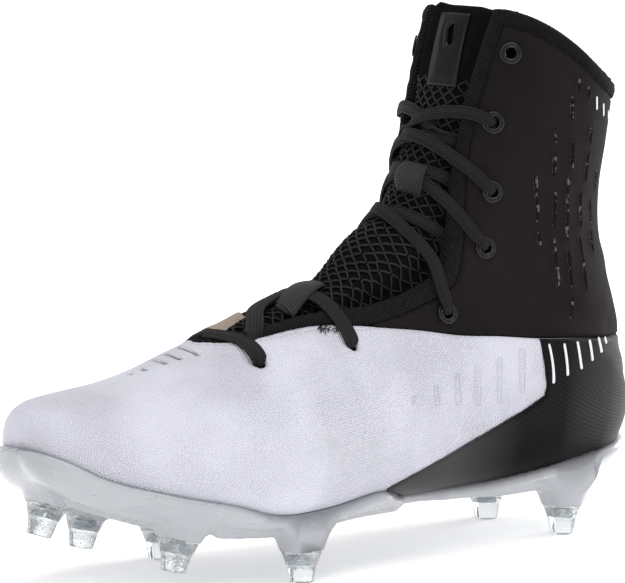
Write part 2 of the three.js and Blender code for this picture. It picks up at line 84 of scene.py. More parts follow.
# Sections from toe to collar: top x, top height, bottom x, bottom height, centre y, outer and inner half width,
# share of the height where it is widest, roundness above and below. Shares of length, ball and heel.
forefootSections = [
    [0.985, 0.446, 0.985, 0.363, -0.137, 0.053, 0.053, 0.5, 2.0, 2.0],
    [0.98, 0.512, 0.98, 0.31, -0.137, 0.126, 0.121, 0.45, 2.2, 2.2],
    [0.967, 0.56, 0.967, 0.262, -0.132, 0.205, 0.184, 0.4, 2.3, 2.4],
    [0.943, 0.59, 0.943, 0.208, -0.121, 0.268, 0.253, 0.36, 2.3, 2.6],
    [0.907, 0.613, 0.907, 0.155, -0.111, 0.326, 0.326, 0.34, 2.2, 2.8],
    [0.857, 0.637, 0.857, 0.095, -0.1, 0.4, 0.389, 0.32, 2.1, 3.0],
    [0.8, 0.685, 0.8, 0.045, -0.089, 0.474, 0.442, 0.3, 2.0, 3.0],
    [0.74, 0.754, 0.74, 0.012, -0.079, 0.526, 0.463, 0.28, 2.0, 3.0],
    [0.68, 0.825, 0.68, 0.0, -0.068, 0.547, 0.453, 0.27, 2.0, 3.0],
    [0.623, 0.89, 0.613, 0.002, -0.063, 0.532, 0.411, 0.26, 2.0, 3.0],
    [0.57, 0.946, 0.533, 0.014, -0.053, 0.495, 0.363, 0.26, 2.0, 3.0],
]
heelAndShaftSections = [
    [0.527, 0.994, 0.44, 0.01, -0.056, 0.583, 0.431, 0.28, 2.0, 3.0],
    [0.49, 1.045, 0.333, 0.002, -0.042, 0.521, 0.417, 0.3, 2.0, 3.0],
    [0.46, 1.112, 0.22, -0.005, -0.028, 0.5, 0.444, 0.32, 2.0, 3.0],
    [0.435, 1.179, 0.123, 0.0, -0.014, 0.5, 0.472, 0.34, 2.0, 2.9],
    [0.415, 1.228, 0.05, 0.03, -0.007, 0.507, 0.479, 0.36, 2.0, 2.6],
    [0.4, 1.272, 0.01, 0.143, 0.0, 0.514, 0.493, 0.38, 2.0, 2.3],
    [0.388, 1.317, -0.01, 0.31, 0.0, 0.514, 0.493, 0.4, 2.0, 2.1],
    [0.378, 1.366, -0.007, 0.512, 0.0, 0.507, 0.493, 0.42, 2.0, 2.0],
    [0.368, 1.42, 0.008, 0.726, 0.0, 0.493, 0.486, 0.44, 2.0, 2.0],
    [0.357, 1.478, 0.028, 0.94, 0.0, 0.479, 0.479, 0.46, 2.0, 2.0],
    [0.345, 1.54, 0.044, 1.107, 0.0, 0.482, 0.486, 0.48, 2.0, 2.0],
    [0.335, 1.607, 0.047, 1.268, 0.0, 0.5, 0.5, 0.5, 2.0, 2.0],
    [0.325, 1.688, 0.04, 1.429, 0.0, 0.521, 0.514, 0.5, 2.0, 2.0],
    [0.313, 1.786, 0.035, 1.589, 0.0, 0.542, 0.528, 0.5, 2.0, 2.0],
    [0.297, 1.893, 0.03, 1.75, 0.0, 0.556, 0.542, 0.5, 2.0, 2.0],
    [0.277, 2.0, 0.023, 1.911, 0.0, 0.556, 0.542, 0.5, 2.0, 2.0],
]

# Lines seen from the side, heel to toe: share of the length, height share.
whiteTopLine = [
    [-0.1, 0.643], [0.0, 0.655], [0.087, 0.677], [0.16, 0.699], [0.23, 0.715], [0.297, 0.742],
    [0.36, 0.761], [0.423, 0.798], [0.487, 0.827], [0.52, 0.842], [0.547, 0.85], [0.64, 1.3], [1.0, 2.2],
]
collarLine = [
    [-0.1, 1.656], [-0.067, 1.656], [0.027, 1.661], [0.087, 1.692], [0.138, 1.754], [0.188, 1.842],
    [0.222, 1.904], [0.247, 1.943], [0.263, 1.96], [0.285, 1.951], [0.6, 1.951],
]
featherLine = [
    [-0.1, 0.21], [-0.06, 0.21], [0.0, 0.185], [0.067, 0.143], [0.137, 0.107], [0.207, 0.071], [0.273, 0.048],
    [0.357, 0.039], [0.44, 0.036], [0.48, 0.071], [0.517, 0.101], [0.55, 0.095], [0.6, 0.06],
    [0.663, 0.048], [0.713, 0.071], [0.767, 0.127], [0.85, 0.194], [0.933, 0.289], [0.983, 0.393],
    [1.04, 0.44],
]
counterFront = [  # None is far under the ground
    [0.235, 0.76], [0.225, 0.607], [0.219, 0.488], [0.222, 0.44], [0.244, 0.402], [0.266, 0.369], [0.331, 0.29],
    [0.401, 0.215], [0.473, 0.153], [0.51, 0.118], [0.53, 0.06], [0.53, None], [-0.4, None], [-0.4, 0.76],
]

# Throat: section, half angle of the free edge and of the seam behind the binding.
throatRows = np.array([
    [7.3, -8, -6], [7.45, 0, 3], [7.6, 0, 10], [7.8, 2, 14.5], [8.05, 8, 18], [8.5, 12.5, 21], [9, 15, 23.5],
    [9.6, 17.5, 27], [10.2, 21, 32], [10.8, 25, 36.5], [11.6, 31, 41], [12.6, 36.5, 44.5], [13.6, 39.5, 47],
    [14.3, 39.5, 47], [15.8, 33.5, 41.5], [17.6, 29.5, 37.5], [20.3, 28, 36], [22.6, 25, 34], [24, 25.5, 34.5],
    [26, 26, 35],
])
eyeletPlaces = [[13.4, 53], [16.6, 48.5], [19.23, 49.5], [22.03, 45], [24.4, 44]]
punchPlaces = [[7.85, 33], [10.3, 44]]
throatScale = {"nose": 7.3, "around": 45.0, "along": 20.0}  # first section, millimetres to a radian and to a section
seamGap = 0.15  # half the gap between the white upper and the shaft
noseReach = 0.54  # the toe's last section is closed by a shallow dome of this height
noseNormal = -0.93  # nearer to the pole of that dome the normal is taken here


def heightAt(share):
    share = np.asarray(share, float)
    return shoe["bed"] + np.minimum(share, 1) * shoe["instep"] + np.maximum(share - 1, 0) * shoe["collar"]


def sectionRows(table, width):
    rows = np.array(table, float)
    rows[:, [0, 2]] *= shoe["length"]
    rows[:, [1, 3]] = heightAt(rows[:, [1, 3]])
    rows[:, 4:7] *= width
    return rows


sections = np.concatenate([
    sectionRows(forefootSections, shoe["ball"]), sectionRows(heelAndShaftSections, shoe["heel"])])
lastSection = len(sections) - 1


def sectionAt(place):
    s = np.clip(place, 0, lastSection)
    i = np.minimum(s.astype(int), lastSection - 1)
    t = (s - i)[..., None]
    p0, p1 = sections[np.maximum(i - 1, 0)], sections[i]
    p2, p3 = sections[i + 1], sections[np.minimum(i + 2, lastSection)]
    bend = 2 * p0 - 5 * p1 + 4 * p2 - p3
    row = 0.5 * (2 * p1 + (p2 - p0) * t + bend * t * t + (-p0 + 3 * p1 - 3 * p2 + p3) * t ** 3)
    shrink = 1 + np.minimum(place, 0)
    middle = (row[..., 1] + row[..., 3]) / 2
    row[..., 1] = middle + (row[..., 1] - middle) * shrink
    row[..., 3] = middle + (row[..., 3] - middle) * shrink
    row[..., 5:7] *= shrink[..., None]
    row[..., [0, 2]] += (noseReach * (1 - shrink ** 2))[..., None]
    return row


def softStep(value, low, high):
    t = np.clip((value - low) / (high - low), 0, 1)
    return t * t * (3 - 2 * t)


def softDip(distance, width):  # 1 on the line, 0 past the width
    return 1 - softStep(distance, 0, width)


# The form lies inside those sections by these millimetres, to meet the outline in the photograph: at the toe tip,
# on the inner side of the forefoot and at the back of the heel. The other values are sections and degrees.
toeTrim = {"amount": 2.6, "fade": (-0.5, 4.0)}
forefootFall = {"amount": 3.6, "from": (2.6, 5.8), "to": (8.3, 9.8), "near": (2.0, 26.0), "far": (62.0, 105.0)}
heelTrim = {"amount": 3.3, "from": (16.5, 17.3), "to": (17.8, 18.7), "around": (80.0, 118.0)}


def innerFall(place, angle):  # how far the inner side of the forefoot lies lower
    lean = -np.degrees(angle)
    along = softStep(place, *forefootFall["from"]) * (1 - softStep(place, *forefootFall["to"]))
    fall = forefootFall["amount"] * along * softStep(lean, *forefootFall["near"])
    return fall * (1 - softStep(lean, *forefootFall["far"]))


def formPoint(place, angle):  # angle in radians from the top line, towards the outer side
    place, angle = np.broadcast_arrays(np.asarray(place, float), np.asarray(angle, float))
    topX, topZ, bottomX, bottomZ, centre, outer, inner, widest, above, below = np.moveaxis(sectionAt(place), -1, 0)
    up, side = np.cos(angle), np.sin(angle)
    power = 2 / np.where(up >= 0, above, below)
    reach = np.abs(up) ** power
    rise = np.where(up >= 0, widest + (1 - widest) * reach, widest - widest * reach)
    out = np.where(side >= 0, outer, -inner) * np.abs(side) ** power
    forward = bottomX + (topX - bottomX) * rise - toeTrim["amount"] * (1 - softStep(place, *toeTrim["fade"]))
    waist = softStep(place, *heelTrim["from"]) * (1 - softStep(place, *heelTrim["to"]))
    forward = forward + heelTrim["amount"] * waist * softStep(np.abs(np.degrees(angle)), *heelTrim["around"])
    return np.stack([forward, centre + out, bottomZ + (topZ - bottomZ) * rise - innerFall(place, angle)], -1)


def unit(vectors):
    return vectors / (np.linalg.norm(vectors, axis=-1, keepdims=True) + 1e-12)


def formNormal(place, angle, step=0.02):
    place = np.clip(np.asarray(place, float), noseNormal, lastSection - step)
    along = formPoint(place + step, angle) - formPoint(place - step, angle)
    around = formPoint(place, angle + step) - formPoint(place, angle - step)
    return unit(np.cross(around, along))


def onForm(place, angle, offset):
    return formPoint(place, angle) + formNormal(place, angle) * np.asarray(offset, float)[..., None]


def toFrame(points):
    return (np.asarray(points, float) + np.array(shoe["shift"])) * 0.001


def smoothLine(table):  # height over x, through the line's own points
    x = np.array([row[0] * shoe["length"] for row in table])
    z = heightAt([row[1] for row in table])
    slope = np.gradient(z, x)

    def at(value):
        value = np.clip(value, x[0], x[-1])
        i = np.clip(np.searchsorted(x, value, side="right") - 1, 0, len(x) - 2)
        span = x[i + 1] - x[i]
        t = (value - x[i]) / span
        return ((2 * t ** 3 - 3 * t ** 2 + 1) * z[i] + (t ** 3 - 2 * t ** 2 + t) * span * slope[i]
                + (3 * t ** 2 - 2 * t ** 3) * z[i + 1] + (t ** 3 - t ** 2) * span * slope[i + 1])
    return at


def sideField(table, sign):  # how far a place lies over a line seen from the side, or with sign -1 under it
    lineAt = smoothLine(table)

    def field(place, angle):
        point = formPoint(place, angle)
        return sign * (point[..., 2] - lineAt(point[..., 0]))
    return field


belowTopLine, belowCollar = sideField(whiteTopLine, -1), sideField(collarLine, -1)
aboveFeather = sideField(featherLine, 1)


def throatAngle(place, column):
    return np.radians(np.interp(place, throatRows[:, 0], throatRows[:, column]))


def outsideThroat(place, angle, column):  # in millimetres, roughly
    ahead = np.maximum(throatScale["nose"] - place, 0) * throatScale["along"]
    return (np.abs(angle) - throatAngle(place, column)) * throatScale["around"] + ahead


def polygonField(corners, ground=-40.0):  # distance to the outline, positive inside
    outline = np.array([[x * shoe["length"], ground if z is None else float(heightAt(z))] for x, z in corners])

    def field(place, angle):
        point = formPoint(place, angle)[..., [0, 2]]
        inside = np.zeros(point.shape[:-1], bool)
        nearest = np.full(point.shape[:-1], np.inf)
        for a, b in zip(outline, np.roll(outline, -1, axis=0)):
            run = b - a
            t = np.clip(((point - a) @ run) / (run @ run), 0, 1)
            nearest = np.minimum(nearest, np.linalg.norm(point - a - t[..., None] * run, axis=-1))
            spans = (a[1] > point[..., 1]) != (b[1] > point[..., 1])
            crossing = a[0] + run[0] * (point[..., 1] - a[1]) / (run[1] if abs(run[1]) > 1e-9 else 1e-9)
            inside ^= spans & (point[..., 0] < crossing)
        return np.where(inside, nearest, -nearest)
    return field


# Arc lengths over the form, for patterns that follow the surface in millimetres.
arcCounts = {"places": 541, "angles": 181}
arcPlaces = np.linspace(-1, lastSection, arcCounts["places"])
arcAngles = np.linspace(0, math.pi, arcCounts["angles"])


def arcTables():
    tables = []
    for side in (1, -1):
        grid = formPoint(arcPlaces[:, None], side * arcAngles[None, :])
        along = np.linalg.norm(np.diff(grid, axis=0, prepend=grid[:1]), axis=-1).cumsum(0)
        around = np.linalg.norm(np.diff(grid, axis=1, prepend=grid[:, :1]), axis=-1).cumsum(1)
        tables.append((along, around * side))
    return tables


outerArcs, innerArcs = arcTables()


def surfaceLengths(place, angle):
    i = np.clip((place + 1) / (arcPlaces[1] - arcPlaces[0]), 0, len(arcPlaces) - 1.001)
    j = np.clip(np.abs(angle) / (arcAngles[1] - arcAngles[0]), 0, len(arcAngles) - 1.001)
    i0, j0 = i.astype(int), j.astype(int)
    di, dj = i - i0, j - j0
    result = []
    for k in range(2):
        parts = [t[k][i0, j0] * (1 - di) * (1 - dj) + t[k][i0 + 1, j0] * di * (1 - dj)
                 + t[k][i0, j0 + 1] * (1 - di) * dj + t[k][i0 + 1, j0 + 1] * di * dj for t in (outerArcs, innerArcs)]
        result.append(np.where(angle >= 0, parts[0], parts[1]))
    return np.stack(result, -1)


# Patches: a net of cells over the form, trimmed to an outline, then closed into a wall.
def evenLines(low, high, step, speedAt, fine=(), samples=1600):  # a step apart, closer in the fine windows
    t = np.linspace(low, high, samples)
    middle = (t[1:] + t[:-1]) / 2
    speed = speedAt(t)
    for start, end, factor in fine:
        speed = speed * np.where((middle > start) & (middle < end), factor, 1)
    length = np.concatenate([[0], np.cumsum(speed)])
    count = max(int(math.ceil(length[-1] / step)), 2)
    return np.interp(np.linspace(0, length[-1], count + 1), length, t)


def placeLines(low, high, step, angles=(0, 180), fine=(), probes=13):  # the step is in millimetres
    across = np.radians(np.linspace(angles[0], angles[1], probes))

    def speedAt(t):
        grid = formPoint(t[:, None], across[None, :])
        return np.linalg.norm(np.diff(grid, axis=0), axis=-1).max(1)
    return evenLines(low, high, step, speedAt, fine)


def angleLines(low, high, step, places, fine=()):  # in degrees
    along = np.array(places, float)

    def speedAt(t):
        grid = formPoint(along[:, None], np.radians(t)[None, :])
        return np.linalg.norm(np.diff(grid, axis=1), axis=-1).max(0)
    return np.radians(evenLines(low, high, step, speedAt, fine))


def mirrored(angles):  # both sides of the top line
    return np.concatenate([-angles[:0:-1], angles])


def gridPatch(places, angles, around=False):
    count = len(angles) - (1 if around else 0)
    angles = angles[:count]
    at = np.stack([np.repeat(places, count), np.tile(angles, len(places))], -1)
    rows, columns = np.meshgrid(np.arange(len(places) - 1), np.arange(count if around else count - 1), indexing="ij")
    after = (columns + 1) % count
    corners = [rows * count + columns, rows * count + after, (rows + 1) * count + after, (rows + 1) * count + columns]
    return {"at": at, "faces": np.stack([c.ravel() for c in corners], -1)}


def patchEdges(faces):
    quads, triangles = faces[faces[:, 3] >= 0], faces[faces[:, 3] < 0]
    parts = [quads[:, [i, (i + 1) % 4]] for i in range(4)]
    parts += [triangles[:, [i, (i + 1) % 3]] for i in range(3)]
    return np.concatenate(parts)


def between(a, b, t):  # on the net, the short way round
    turn = (b[:, 1] - a[:, 1] + math.pi) % (2 * math.pi) - math.pi
    mixed = np.stack([a[:, 0] + (b[:, 0] - a[:, 0]) * t, a[:, 1] + turn * t], -1)
    mixed[:, 1] = (mixed[:, 1] + math.pi) % (2 * math.pi) - math.pi
    return mixed


def snapPatch(patch, field, halvings=14):  # pulls the nearest net points onto the line where the field is nought
    at, faces = patch["at"].copy(), patch["faces"]
    value = field(at[:, 0], at[:, 1])
    edges = np.unique(np.sort(patchEdges(faces), axis=1), axis=0)
    crossing = edges[value[edges[:, 0]] * value[edges[:, 1]] < 0]
    if len(crossing) == 0:
        return {"at": at, "faces": faces}, value
    first, second = at[crossing[:, 0]], at[crossing[:, 1]]
    low, high = np.zeros(len(crossing)), np.ones(len(crossing))
    sign = np.sign(value[crossing[:, 0]])
    for _ in range(halvings):
        half = (low + high) / 2
        middle = between(first, second, half)
        same = field(middle[:, 0], middle[:, 1]) * sign > 0
        low, high = np.where(same, half, low), np.where(same, high, half)
    t = (low + high) / 2
    mover = np.where(t < 0.5, crossing[:, 0], crossing[:, 1])
    target = between(first, second, t)
    order = np.argsort(-np.minimum(t, 1 - t))
    at[mover[order]] = target[order]
    value[mover] = 0
    return {"at": at, "faces": faces}, value


def trimPatch(patch, field):
    patch, value = snapPatch(patch, field)
    faces = patch["faces"]
    corner = np.where(faces >= 0, value[faces], 0)
    lowest, highest = corner.min(1), corner.max(1)
    kept = faces[(lowest >= 0) & (highest > 0)]
    extra = []
    for face in faces[(lowest < 0) & (highest > 0)]:
        part = [v for v in face if v >= 0 and value[v] >= 0]
        if len(part) >= 3:
            extra.append(part + [-1] * (4 - len(part)))
    if extra:
        kept = np.concatenate([kept, np.array(extra)])
    return tidyPatch({"at": patch["at"], "faces": kept})


def tidyPatch(patch):
    faces = patch["faces"]
    used = np.unique(faces[faces >= 0])
    renumber = np.full(len(patch["at"]) + 1, -1)
    renumber[used] = np.arange(len(used))
    return {"at": patch["at"][used], "faces": np.where(faces >= 0, renumber[faces], -1)}


def rimEdges(patch):
    directed = patchEdges(patch["faces"])
    size = len(patch["at"])
    codes = directed[:, 0] * size + directed[:, 1]
    return directed[~np.isin(directed[:, 1] * size + directed[:, 0], codes)]


def edgeDistance(patch, reach=6.0):  # millimetres from the outline, up to the reach
    points = formPoint(patch["at"][:, 0], patch["at"][:, 1])
    rim = rimEdges(patch)
    distance = np.full(len(points), reach)
    if len(rim) == 0:
        return distance
    marks = np.concatenate([points[rim[:, 0]], (points[rim[:, 0]] + points[rim[:, 1]]) / 2])
    tree = KDTree(len(marks))
    for i, mark in enumerate(marks):
        tree.insert(mark, i)
    tree.balance()
    low, high = marks.min(0) - reach, marks.max(0) + reach
    near = np.where(((points > low) & (points < high)).all(1))[0]
    for i in near:
        distance[i] = min(tree.find(points[i])[2], reach)
    distance[np.unique(rim)] = 0
    return distance


def rolled(distance, radius):  # how far a rounded edge falls below the face
    inward = radius - np.minimum(distance, radius)
    return radius - np.sqrt(np.maximum(radius ** 2 - inward ** 2, 0))


def newPiece(name, mesh):
    mesh.polygons.foreach_set("use_smooth", [True] * len(mesh.polygons))
    piece = bpy.data.objects.new(name, mesh)
    bpy.context.scene.collection.objects.link(piece)
    return piece


def giveLengths(mesh, lengths):  # each vertex's lengths over the surface, for the patterns
    layer = mesh.uv_layers.new(name="UVMap")
    corner = np.zeros(len(mesh.loops), np.int32)
    mesh.loops.foreach_get("vertex_index", corner)
    layer.data.foreach_set("uv", lengths.astype(np.float32)[corner].ravel())


def wallMesh(name, patch, over, under, distance=None, lined=False, pressed=None):  # closed at the rims
    at, faces = patch["at"], patch["faces"]
    count = len(at)
    rim = rimEdges(patch)
    first = faces[len(faces) // 2][:3]
    turned = np.cross(over[first[1]] - over[first[0]], over[first[2]] - over[first[0]])
    if turned @ formNormal(*at[first[0]]) < 0:
        faces = np.where(faces[:, 3:4] >= 0, faces[:, ::-1], faces[:, [2, 1, 0, 3]])
        rim = rim[:, ::-1]
    top = [[v for v in face if v >= 0] for face in faces.tolist()]
    bottom = [[v + count for v in reversed(face)] for face in top]
    side = [[b, a, a + count, b + count] for a, b in rim.tolist()]
    mesh = bpy.data.meshes.new(name)
    mesh.from_pydata(toFrame(np.concatenate([over, under])).tolist(), [], top + bottom + side)
    giveLengths(mesh, np.tile(surfaceLengths(*at.T), (2, 1)))
    for label, values in (("edge", distance), ("pressed", pressed)):
        if values is not None:
            layer = mesh.attributes.new(label, "FLOAT", "POINT")
            layer.data.foreach_set("value", np.tile(values, 2).astype(np.float32))
    if lined:
        slots = [0] * len(top) + [1] * len(bottom) + [0] * len(side)
        mesh.polygons.foreach_set("material_index", slots)
    shell = bmesh.new()
    shell.from_mesh(mesh)
    bmesh.ops.remove_doubles(shell, verts=shell.verts, dist=0.000001)  # closes the pole at the toe
    shell.to_mesh(mesh)
    shell.free()
    mesh.validate()
    return newPiece(name, mesh)


def formWall(name, patch, high, low, *marks, **more):  # a wall between two heights over the form
    return wallMesh(name, patch, onForm(*patch["at"].T, high), onForm(*patch["at"].T, low), *marks, **more)


def finishPiece(piece, materials, slot, *nodes):
    for material in materials:
        piece.data.materials.append(material)
    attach(piece, "root")
    if nodes:
        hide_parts(*nodes)
    print(piece.name, len(piece.data.polygons), "faces")


def segmentDistance(points, start, end):  # both ends are places on the form
    a, b = formPoint(start[0], math.radians(start[1])), formPoint(end[0], math.radians(end[1]))
    run = b - a
    t = np.clip(((points - a) @ run) / max(run @ run, 1e-9), 0, 1)
    return np.linalg.norm(points - a - t[:, None] * run, axis=-1)


def pathDistance(points, path):
    return np.min([segmentDistance(points, a, b) for a, b in zip(path[:-1], path[1:])], axis=0)


# Materials, each with what it gives the eye.
def srgb(code):
    parts = [int(code[i:i + 2], 16) / 255 for i in (1, 3, 5)]
    return tuple(c / 12.92 if c <= 0.04045 else ((c + 0.055) / 1.055) ** 2.4 for c in parts) + (1.0,)


def newMaterial(name, roughness, **shader):
    material = bpy.data.materials.new(name)
    material.use_nodes = True
    principled = material.node_tree.nodes["Principled BSDF"]
    principled.inputs["Roughness"].default_value = roughness
    for key, value in shader.items():
        principled.inputs[key.replace("_", " ")].default_value = value
    return material


def addNode(material, kind, inputs=(), output=0, **settings):  # adds a node with its settings and links
    tree = material.node_tree
    node = tree.nodes.new("ShaderNode" + kind)
    for key, value in settings.items():
        setattr(node, key, value)
    for key, value in inputs.items() if isinstance(inputs, dict) else enumerate(inputs):
        if isinstance(value, bpy.types.NodeSocket):
            tree.links.new(value, node.inputs[key])
        else:
            node.inputs[key].default_value = value
    return node.outputs[output]


def pieceLengths(material):  # the piece's own lengths in millimetres, along and round the shoe
    mapped = addNode(material, "UVMap", uv_map="UVMap")
    parts = addNode(material, "SeparateXYZ", [mapped]).node.outputs
    return parts[0], parts[1]


def ribbed(material, length, pitch):  # -1 to 1 over each pitch in millimetres
    turns = addNode(material, "Math", [length, 2 * math.pi / pitch], operation="MULTIPLY")
    return addNode(material, "Math", [turns], operation="SINE")


def weighted(material, *terms):  # sum of pattern and weight pairs
    total = None
    for pattern, weight in terms:
        scaled = addNode(material, "Math", [pattern, weight], operation="MULTIPLY")
        total = scaled if total is None else addNode(material, "Math", [total, scaled], operation="ADD")
    return total


def diamonds(material, along, around, pitch):  # -1 to 1, two diagonal sets of ribs
    rising = ribbed(material, addNode(material, "Math", [along, around], operation="ADD"), pitch)
    falling = ribbed(material, addNode(material, "Math", [along, around], operation="SUBTRACT"), pitch)
    return rising, falling


def fleck(material, scale, detail=2.0, stretch=(1, 1, 1)):  # speckle over the piece's place, per metre
    place = addNode(material, "TexCoord", output="Object")
    if stretch != (1, 1, 1):
        place = addNode(material, "Mapping", {"Vector": place, "Scale": stretch})
    return addNode(material, "TexNoise", {"Vector": place, "Scale": scale, "Detail": detail})


def nearEdgeLine(material, at, half):  # 1 this close to the line at that distance from the piece's edge
    edge = addNode(material, "Attribute", output="Fac", attribute_name="edge")
    past = addNode(material, "Math", [edge, at], operation="SUBTRACT")
    away = addNode(material, "Math", [past], operation="ABSOLUTE")
    return addNode(material, "Math", [away, half], operation="LESS_THAN")


def placeParts(material):  # x, y and z in metres
    return addNode(material, "SeparateXYZ", [addNode(material, "TexCoord", output="Object")]).node.outputs


def finishSurface(material, low, high, share, relief=None, strength=0.5, depth=0.0001, rough=None):
    shader = material.node_tree.nodes["Principled BSDF"].inputs
    high = srgb(high) if isinstance(high, str) else high
    colour = addNode(material, "Mix", {"Factor": share, 6: srgb(low), 7: high}, 2, data_type="RGBA")
    material.node_tree.links.new(colour, shader["Base Color"])
    if relief is not None:
        bump = addNode(material, "Bump", {"Strength": strength, "Distance": depth, "Height": relief})
        material.node_tree.links.new(bump, shader["Normal"])
    if rough is not None:
        material.node_tree.links.new(rough, shader["Roughness"])
    return material


def speckled(name, roughness, low, high, scale, detail=2.0, relief=None, **shader):  # colour and relief by one speckle
    material = newMaterial(name, roughness, **shader)
    grain = fleck(material, scale, detail)
    return finishSurface(material, low, high, grain, *((grain, *relief) if relief else ()))


def mouldedFilm():
    # polyurethane film over a knit: semi-matt white, with the knit's fine diamonds showing through
    material = newMaterial("mouldedPuFilm", 0.4, IOR=1.5, Specular_IOR_Level=0.3,
                           Coat_Weight=0.1, Coat_Roughness=0.35)
    along, around = pieceLengths(material)
    rising, falling = diamonds(material, along, around, 2.1)
    dots = addNode(material, "Math", [rising, falling], operation="MULTIPLY")
    patches = addNode(material, "MapRange", [fleck(material, 26), 0.38, 0.6, 0.45, 1.0])
    dots = addNode(material, "Math", [dots, patches], operation="MULTIPLY")
    near = nearEdgeLine(material, 3.0, 0.36)
    stitch = addNode(material, "Math", [ribbed(material, along, 2.3), -0.1], operation="GREATER_THAN")
    row = addNode(material, "Math", [near, stitch], operation="MULTIPLY")  # pinholes along the throat
    pressed = addNode(material, "Attribute", output="Fac", attribute_name="pressed")
    inside = addNode(material, "MapRange", [pressed, 1.0, 1.7, 1.0, 0.0])  # the dashes pressed into the quarter
    relief = weighted(material, (dots, 1.0), (fleck(material, 900), 0.15), (row, -3.0), (inside, -1.7))
    shade = addNode(material, "MapRange", [dots, -1, 1, 0.25, 0.8])
    # the pressed dashes are painted a little darker inside, as painted shade in their recesses
    tone = weighted(material, (shade, 1.0), (row, -0.8), (inside, -0.12))
    return finishSurface(material, "#bdbdc9", "#dddde8", tone, relief, 0.85, 0.0004)


def counterFilmMaterial():
    # thermoplastic film with a moulded diagonal grain: satin black, with painted reflection making the back of the
    # heel and the front end paler, and painted glints on the grain's ridges
    material = newMaterial("counterTpuFilm", 0.36, IOR=1.5, Specular_IOR_Level=0.02,
                           Coat_Weight=0.035, Coat_Roughness=0.2)
    along, around = pieceLengths(material)
    rising, falling = diamonds(material, along, around, 1.6)
    weave = weighted(material, (rising, 1.2), (falling, 0.4))
    place = placeParts(material)
    lower = addNode(material, "MapRange", [place[2], 0.034, 0.052, 0.1, 1.0])  # the grain and its painted glints fade out towards the sole
    rear = addNode(material, "MapRange", [place[0], -0.092, -0.122, 0.1, 1.0])
    # painted reflection: the back of the heel is painted paler grey, as a grazing reflection on the gloss would show
    paintedRearReflection = addNode(material, "MapRange", [place[0], -0.118, -0.152, 0.0, 0.42])
    # painted reflection: the counter is painted a little paler towards its front end
    paintedWedgeReflection = addNode(material, "MapRange", [place[0], -0.07, -0.03, 0.0, 0.14])
    fade = addNode(material, "Math", [lower, rear], operation="MULTIPLY")
    grain = addNode(material, "MapRange", [weave, -1.6, 1.6, 0.0, 1.0])
    # painted glints: the grain's ridges are painted paler where the grain shows, at the rear and away from the sole
    paintedGrainGlint = addNode(material, "Math", [grain, fade], operation="MULTIPLY")
    tone = weighted(material, (paintedGrainGlint, 0.45), (paintedRearReflection, 1.0), (paintedWedgeReflection, 1.0))
    relief = weighted(material, (weave, fade), (fleck(material, 1100), 0.2))
    rough = addNode(material, "MapRange", [fade, 0.0, 1.0, 0.3, 0.42])
    return finishSurface(material, "#010101", "#a09ea0", tone, relief, 0.9, 0.0004, rough)


def shaftTextile():
    # polyester knit laminated to foam: matt warm black, fine courses with a purple-brown cast
    material = newMaterial("shaftPolyesterKnit", 0.85, IOR=1.45, Specular_IOR_Level=0.12,
                           Sheen_Weight=0.02, Sheen_Roughness=0.4)
    along, around = pieceLengths(material)
    knit = weighted(material, (ribbed(material, along, 0.9), 1.0), (ribbed(material, around, 1.15), 0.6))
    relief = weighted(material, (knit, 1.0), (fleck(material, 700, 3), 1.6))
    shade = addNode(material, "MapRange", [relief, -0.9, 2.4, 0.0, 0.6])
    patches = addNode(material, "MapRange", [fleck(material, 14, 3), 0.35, 0.65, -0.1, 0.35])
    tone = weighted(material, (shade, 1.0), (patches, 1.0))
    glint = addNode(material, "MapRange", [fleck(material, 420, 3), 0.54, 0.62, 0.0, 0.55])
    rim = nearEdgeLine(material, 0.7, 0.3)
    paintedRimGlint = addNode(material, "Math", [rim, glint], operation="MULTIPLY")  # the rims of the slots are glossier, and painted glints lighten their colour
    # painted glints: the yarn colour is mixed towards pale grey in speckles on the rims of the slots
    yarn = addNode(material, "Mix", {"Factor": paintedRimGlint, 6: srgb("#272123"), 7: srgb("#8d898b")}, 2, data_type="RGBA")
    tone = addNode(material, "Math", [tone, paintedRimGlint], operation="ADD")
    rough = addNode(material, "MapRange", [paintedRimGlint, 0.0, 0.4, 0.85, 0.4])
    return finishSurface(material, "#100d0e", yarn, tone, relief, 0.45, 0.00014, rough)


def bindingTape():
    # elastic knit tape: deep black, ribbed across, loops that stand up a little
    material = newMaterial("bindingElasticKnit", 0.9, IOR=1.45, Specular_IOR_Level=0.1, Sheen_Weight=0.02)
    along, around = pieceLengths(material)
    ribs = ribbed(material, along, 1.5)
    zigzag = weighted(material, (around, 1.0), (ribs, 0.4))
    relief = weighted(material, (ribbed(material, zigzag, 1.3), 0.9), (ribs, 0.8), (fleck(material, 420, 3), 2.6))
    tone = addNode(material, "MapRange", [relief, -0.4, 2.8])
    return finishSurface(material, "#040404", "#1f1d1f", tone, relief, 0.8, 0.0003)


def smoothLeather():
    # smooth polyurethane leather: black, soft gloss, fine pores
    material = newMaterial("tonguePuLeather", 0.3, IOR=1.5, Specular_IOR_Level=0.15,
                           Coat_Weight=0.1, Coat_Roughness=0.15)
    broad = fleck(material, 60)
    rough = addNode(material, "MapRange", [broad, 0.3, 0.7, 0.22, 0.38])
    return finishSurface(material, "#060506", "#121113", broad, fleck(material, 1500), 0.3, 0.00008, rough)


def braidedLace():
    # flat braided polyester: black, each yarn catches a little light
    material = newMaterial("laceBraidedPolyester", 0.7, IOR=1.5, Specular_IOR_Level=0.15, Sheen_Weight=0.02)
    along, around = pieceLengths(material)
    rising, falling = diamonds(material, along, around, 1.25)
    braid = addNode(material, "Math", [rising, falling], operation="MAXIMUM")
    cords = ribbed(material, around, 1.4)  # five cords side by side
    relief = weighted(material, (braid, 0.7), (fleck(material, 1400), 0.8), (cords, 1.0))
    tone = addNode(material, "MapRange", [relief, -0.9, 2.0])
    return finishSurface(material, "#040404", "#262426", tone, relief, 0.7, 0.00022)


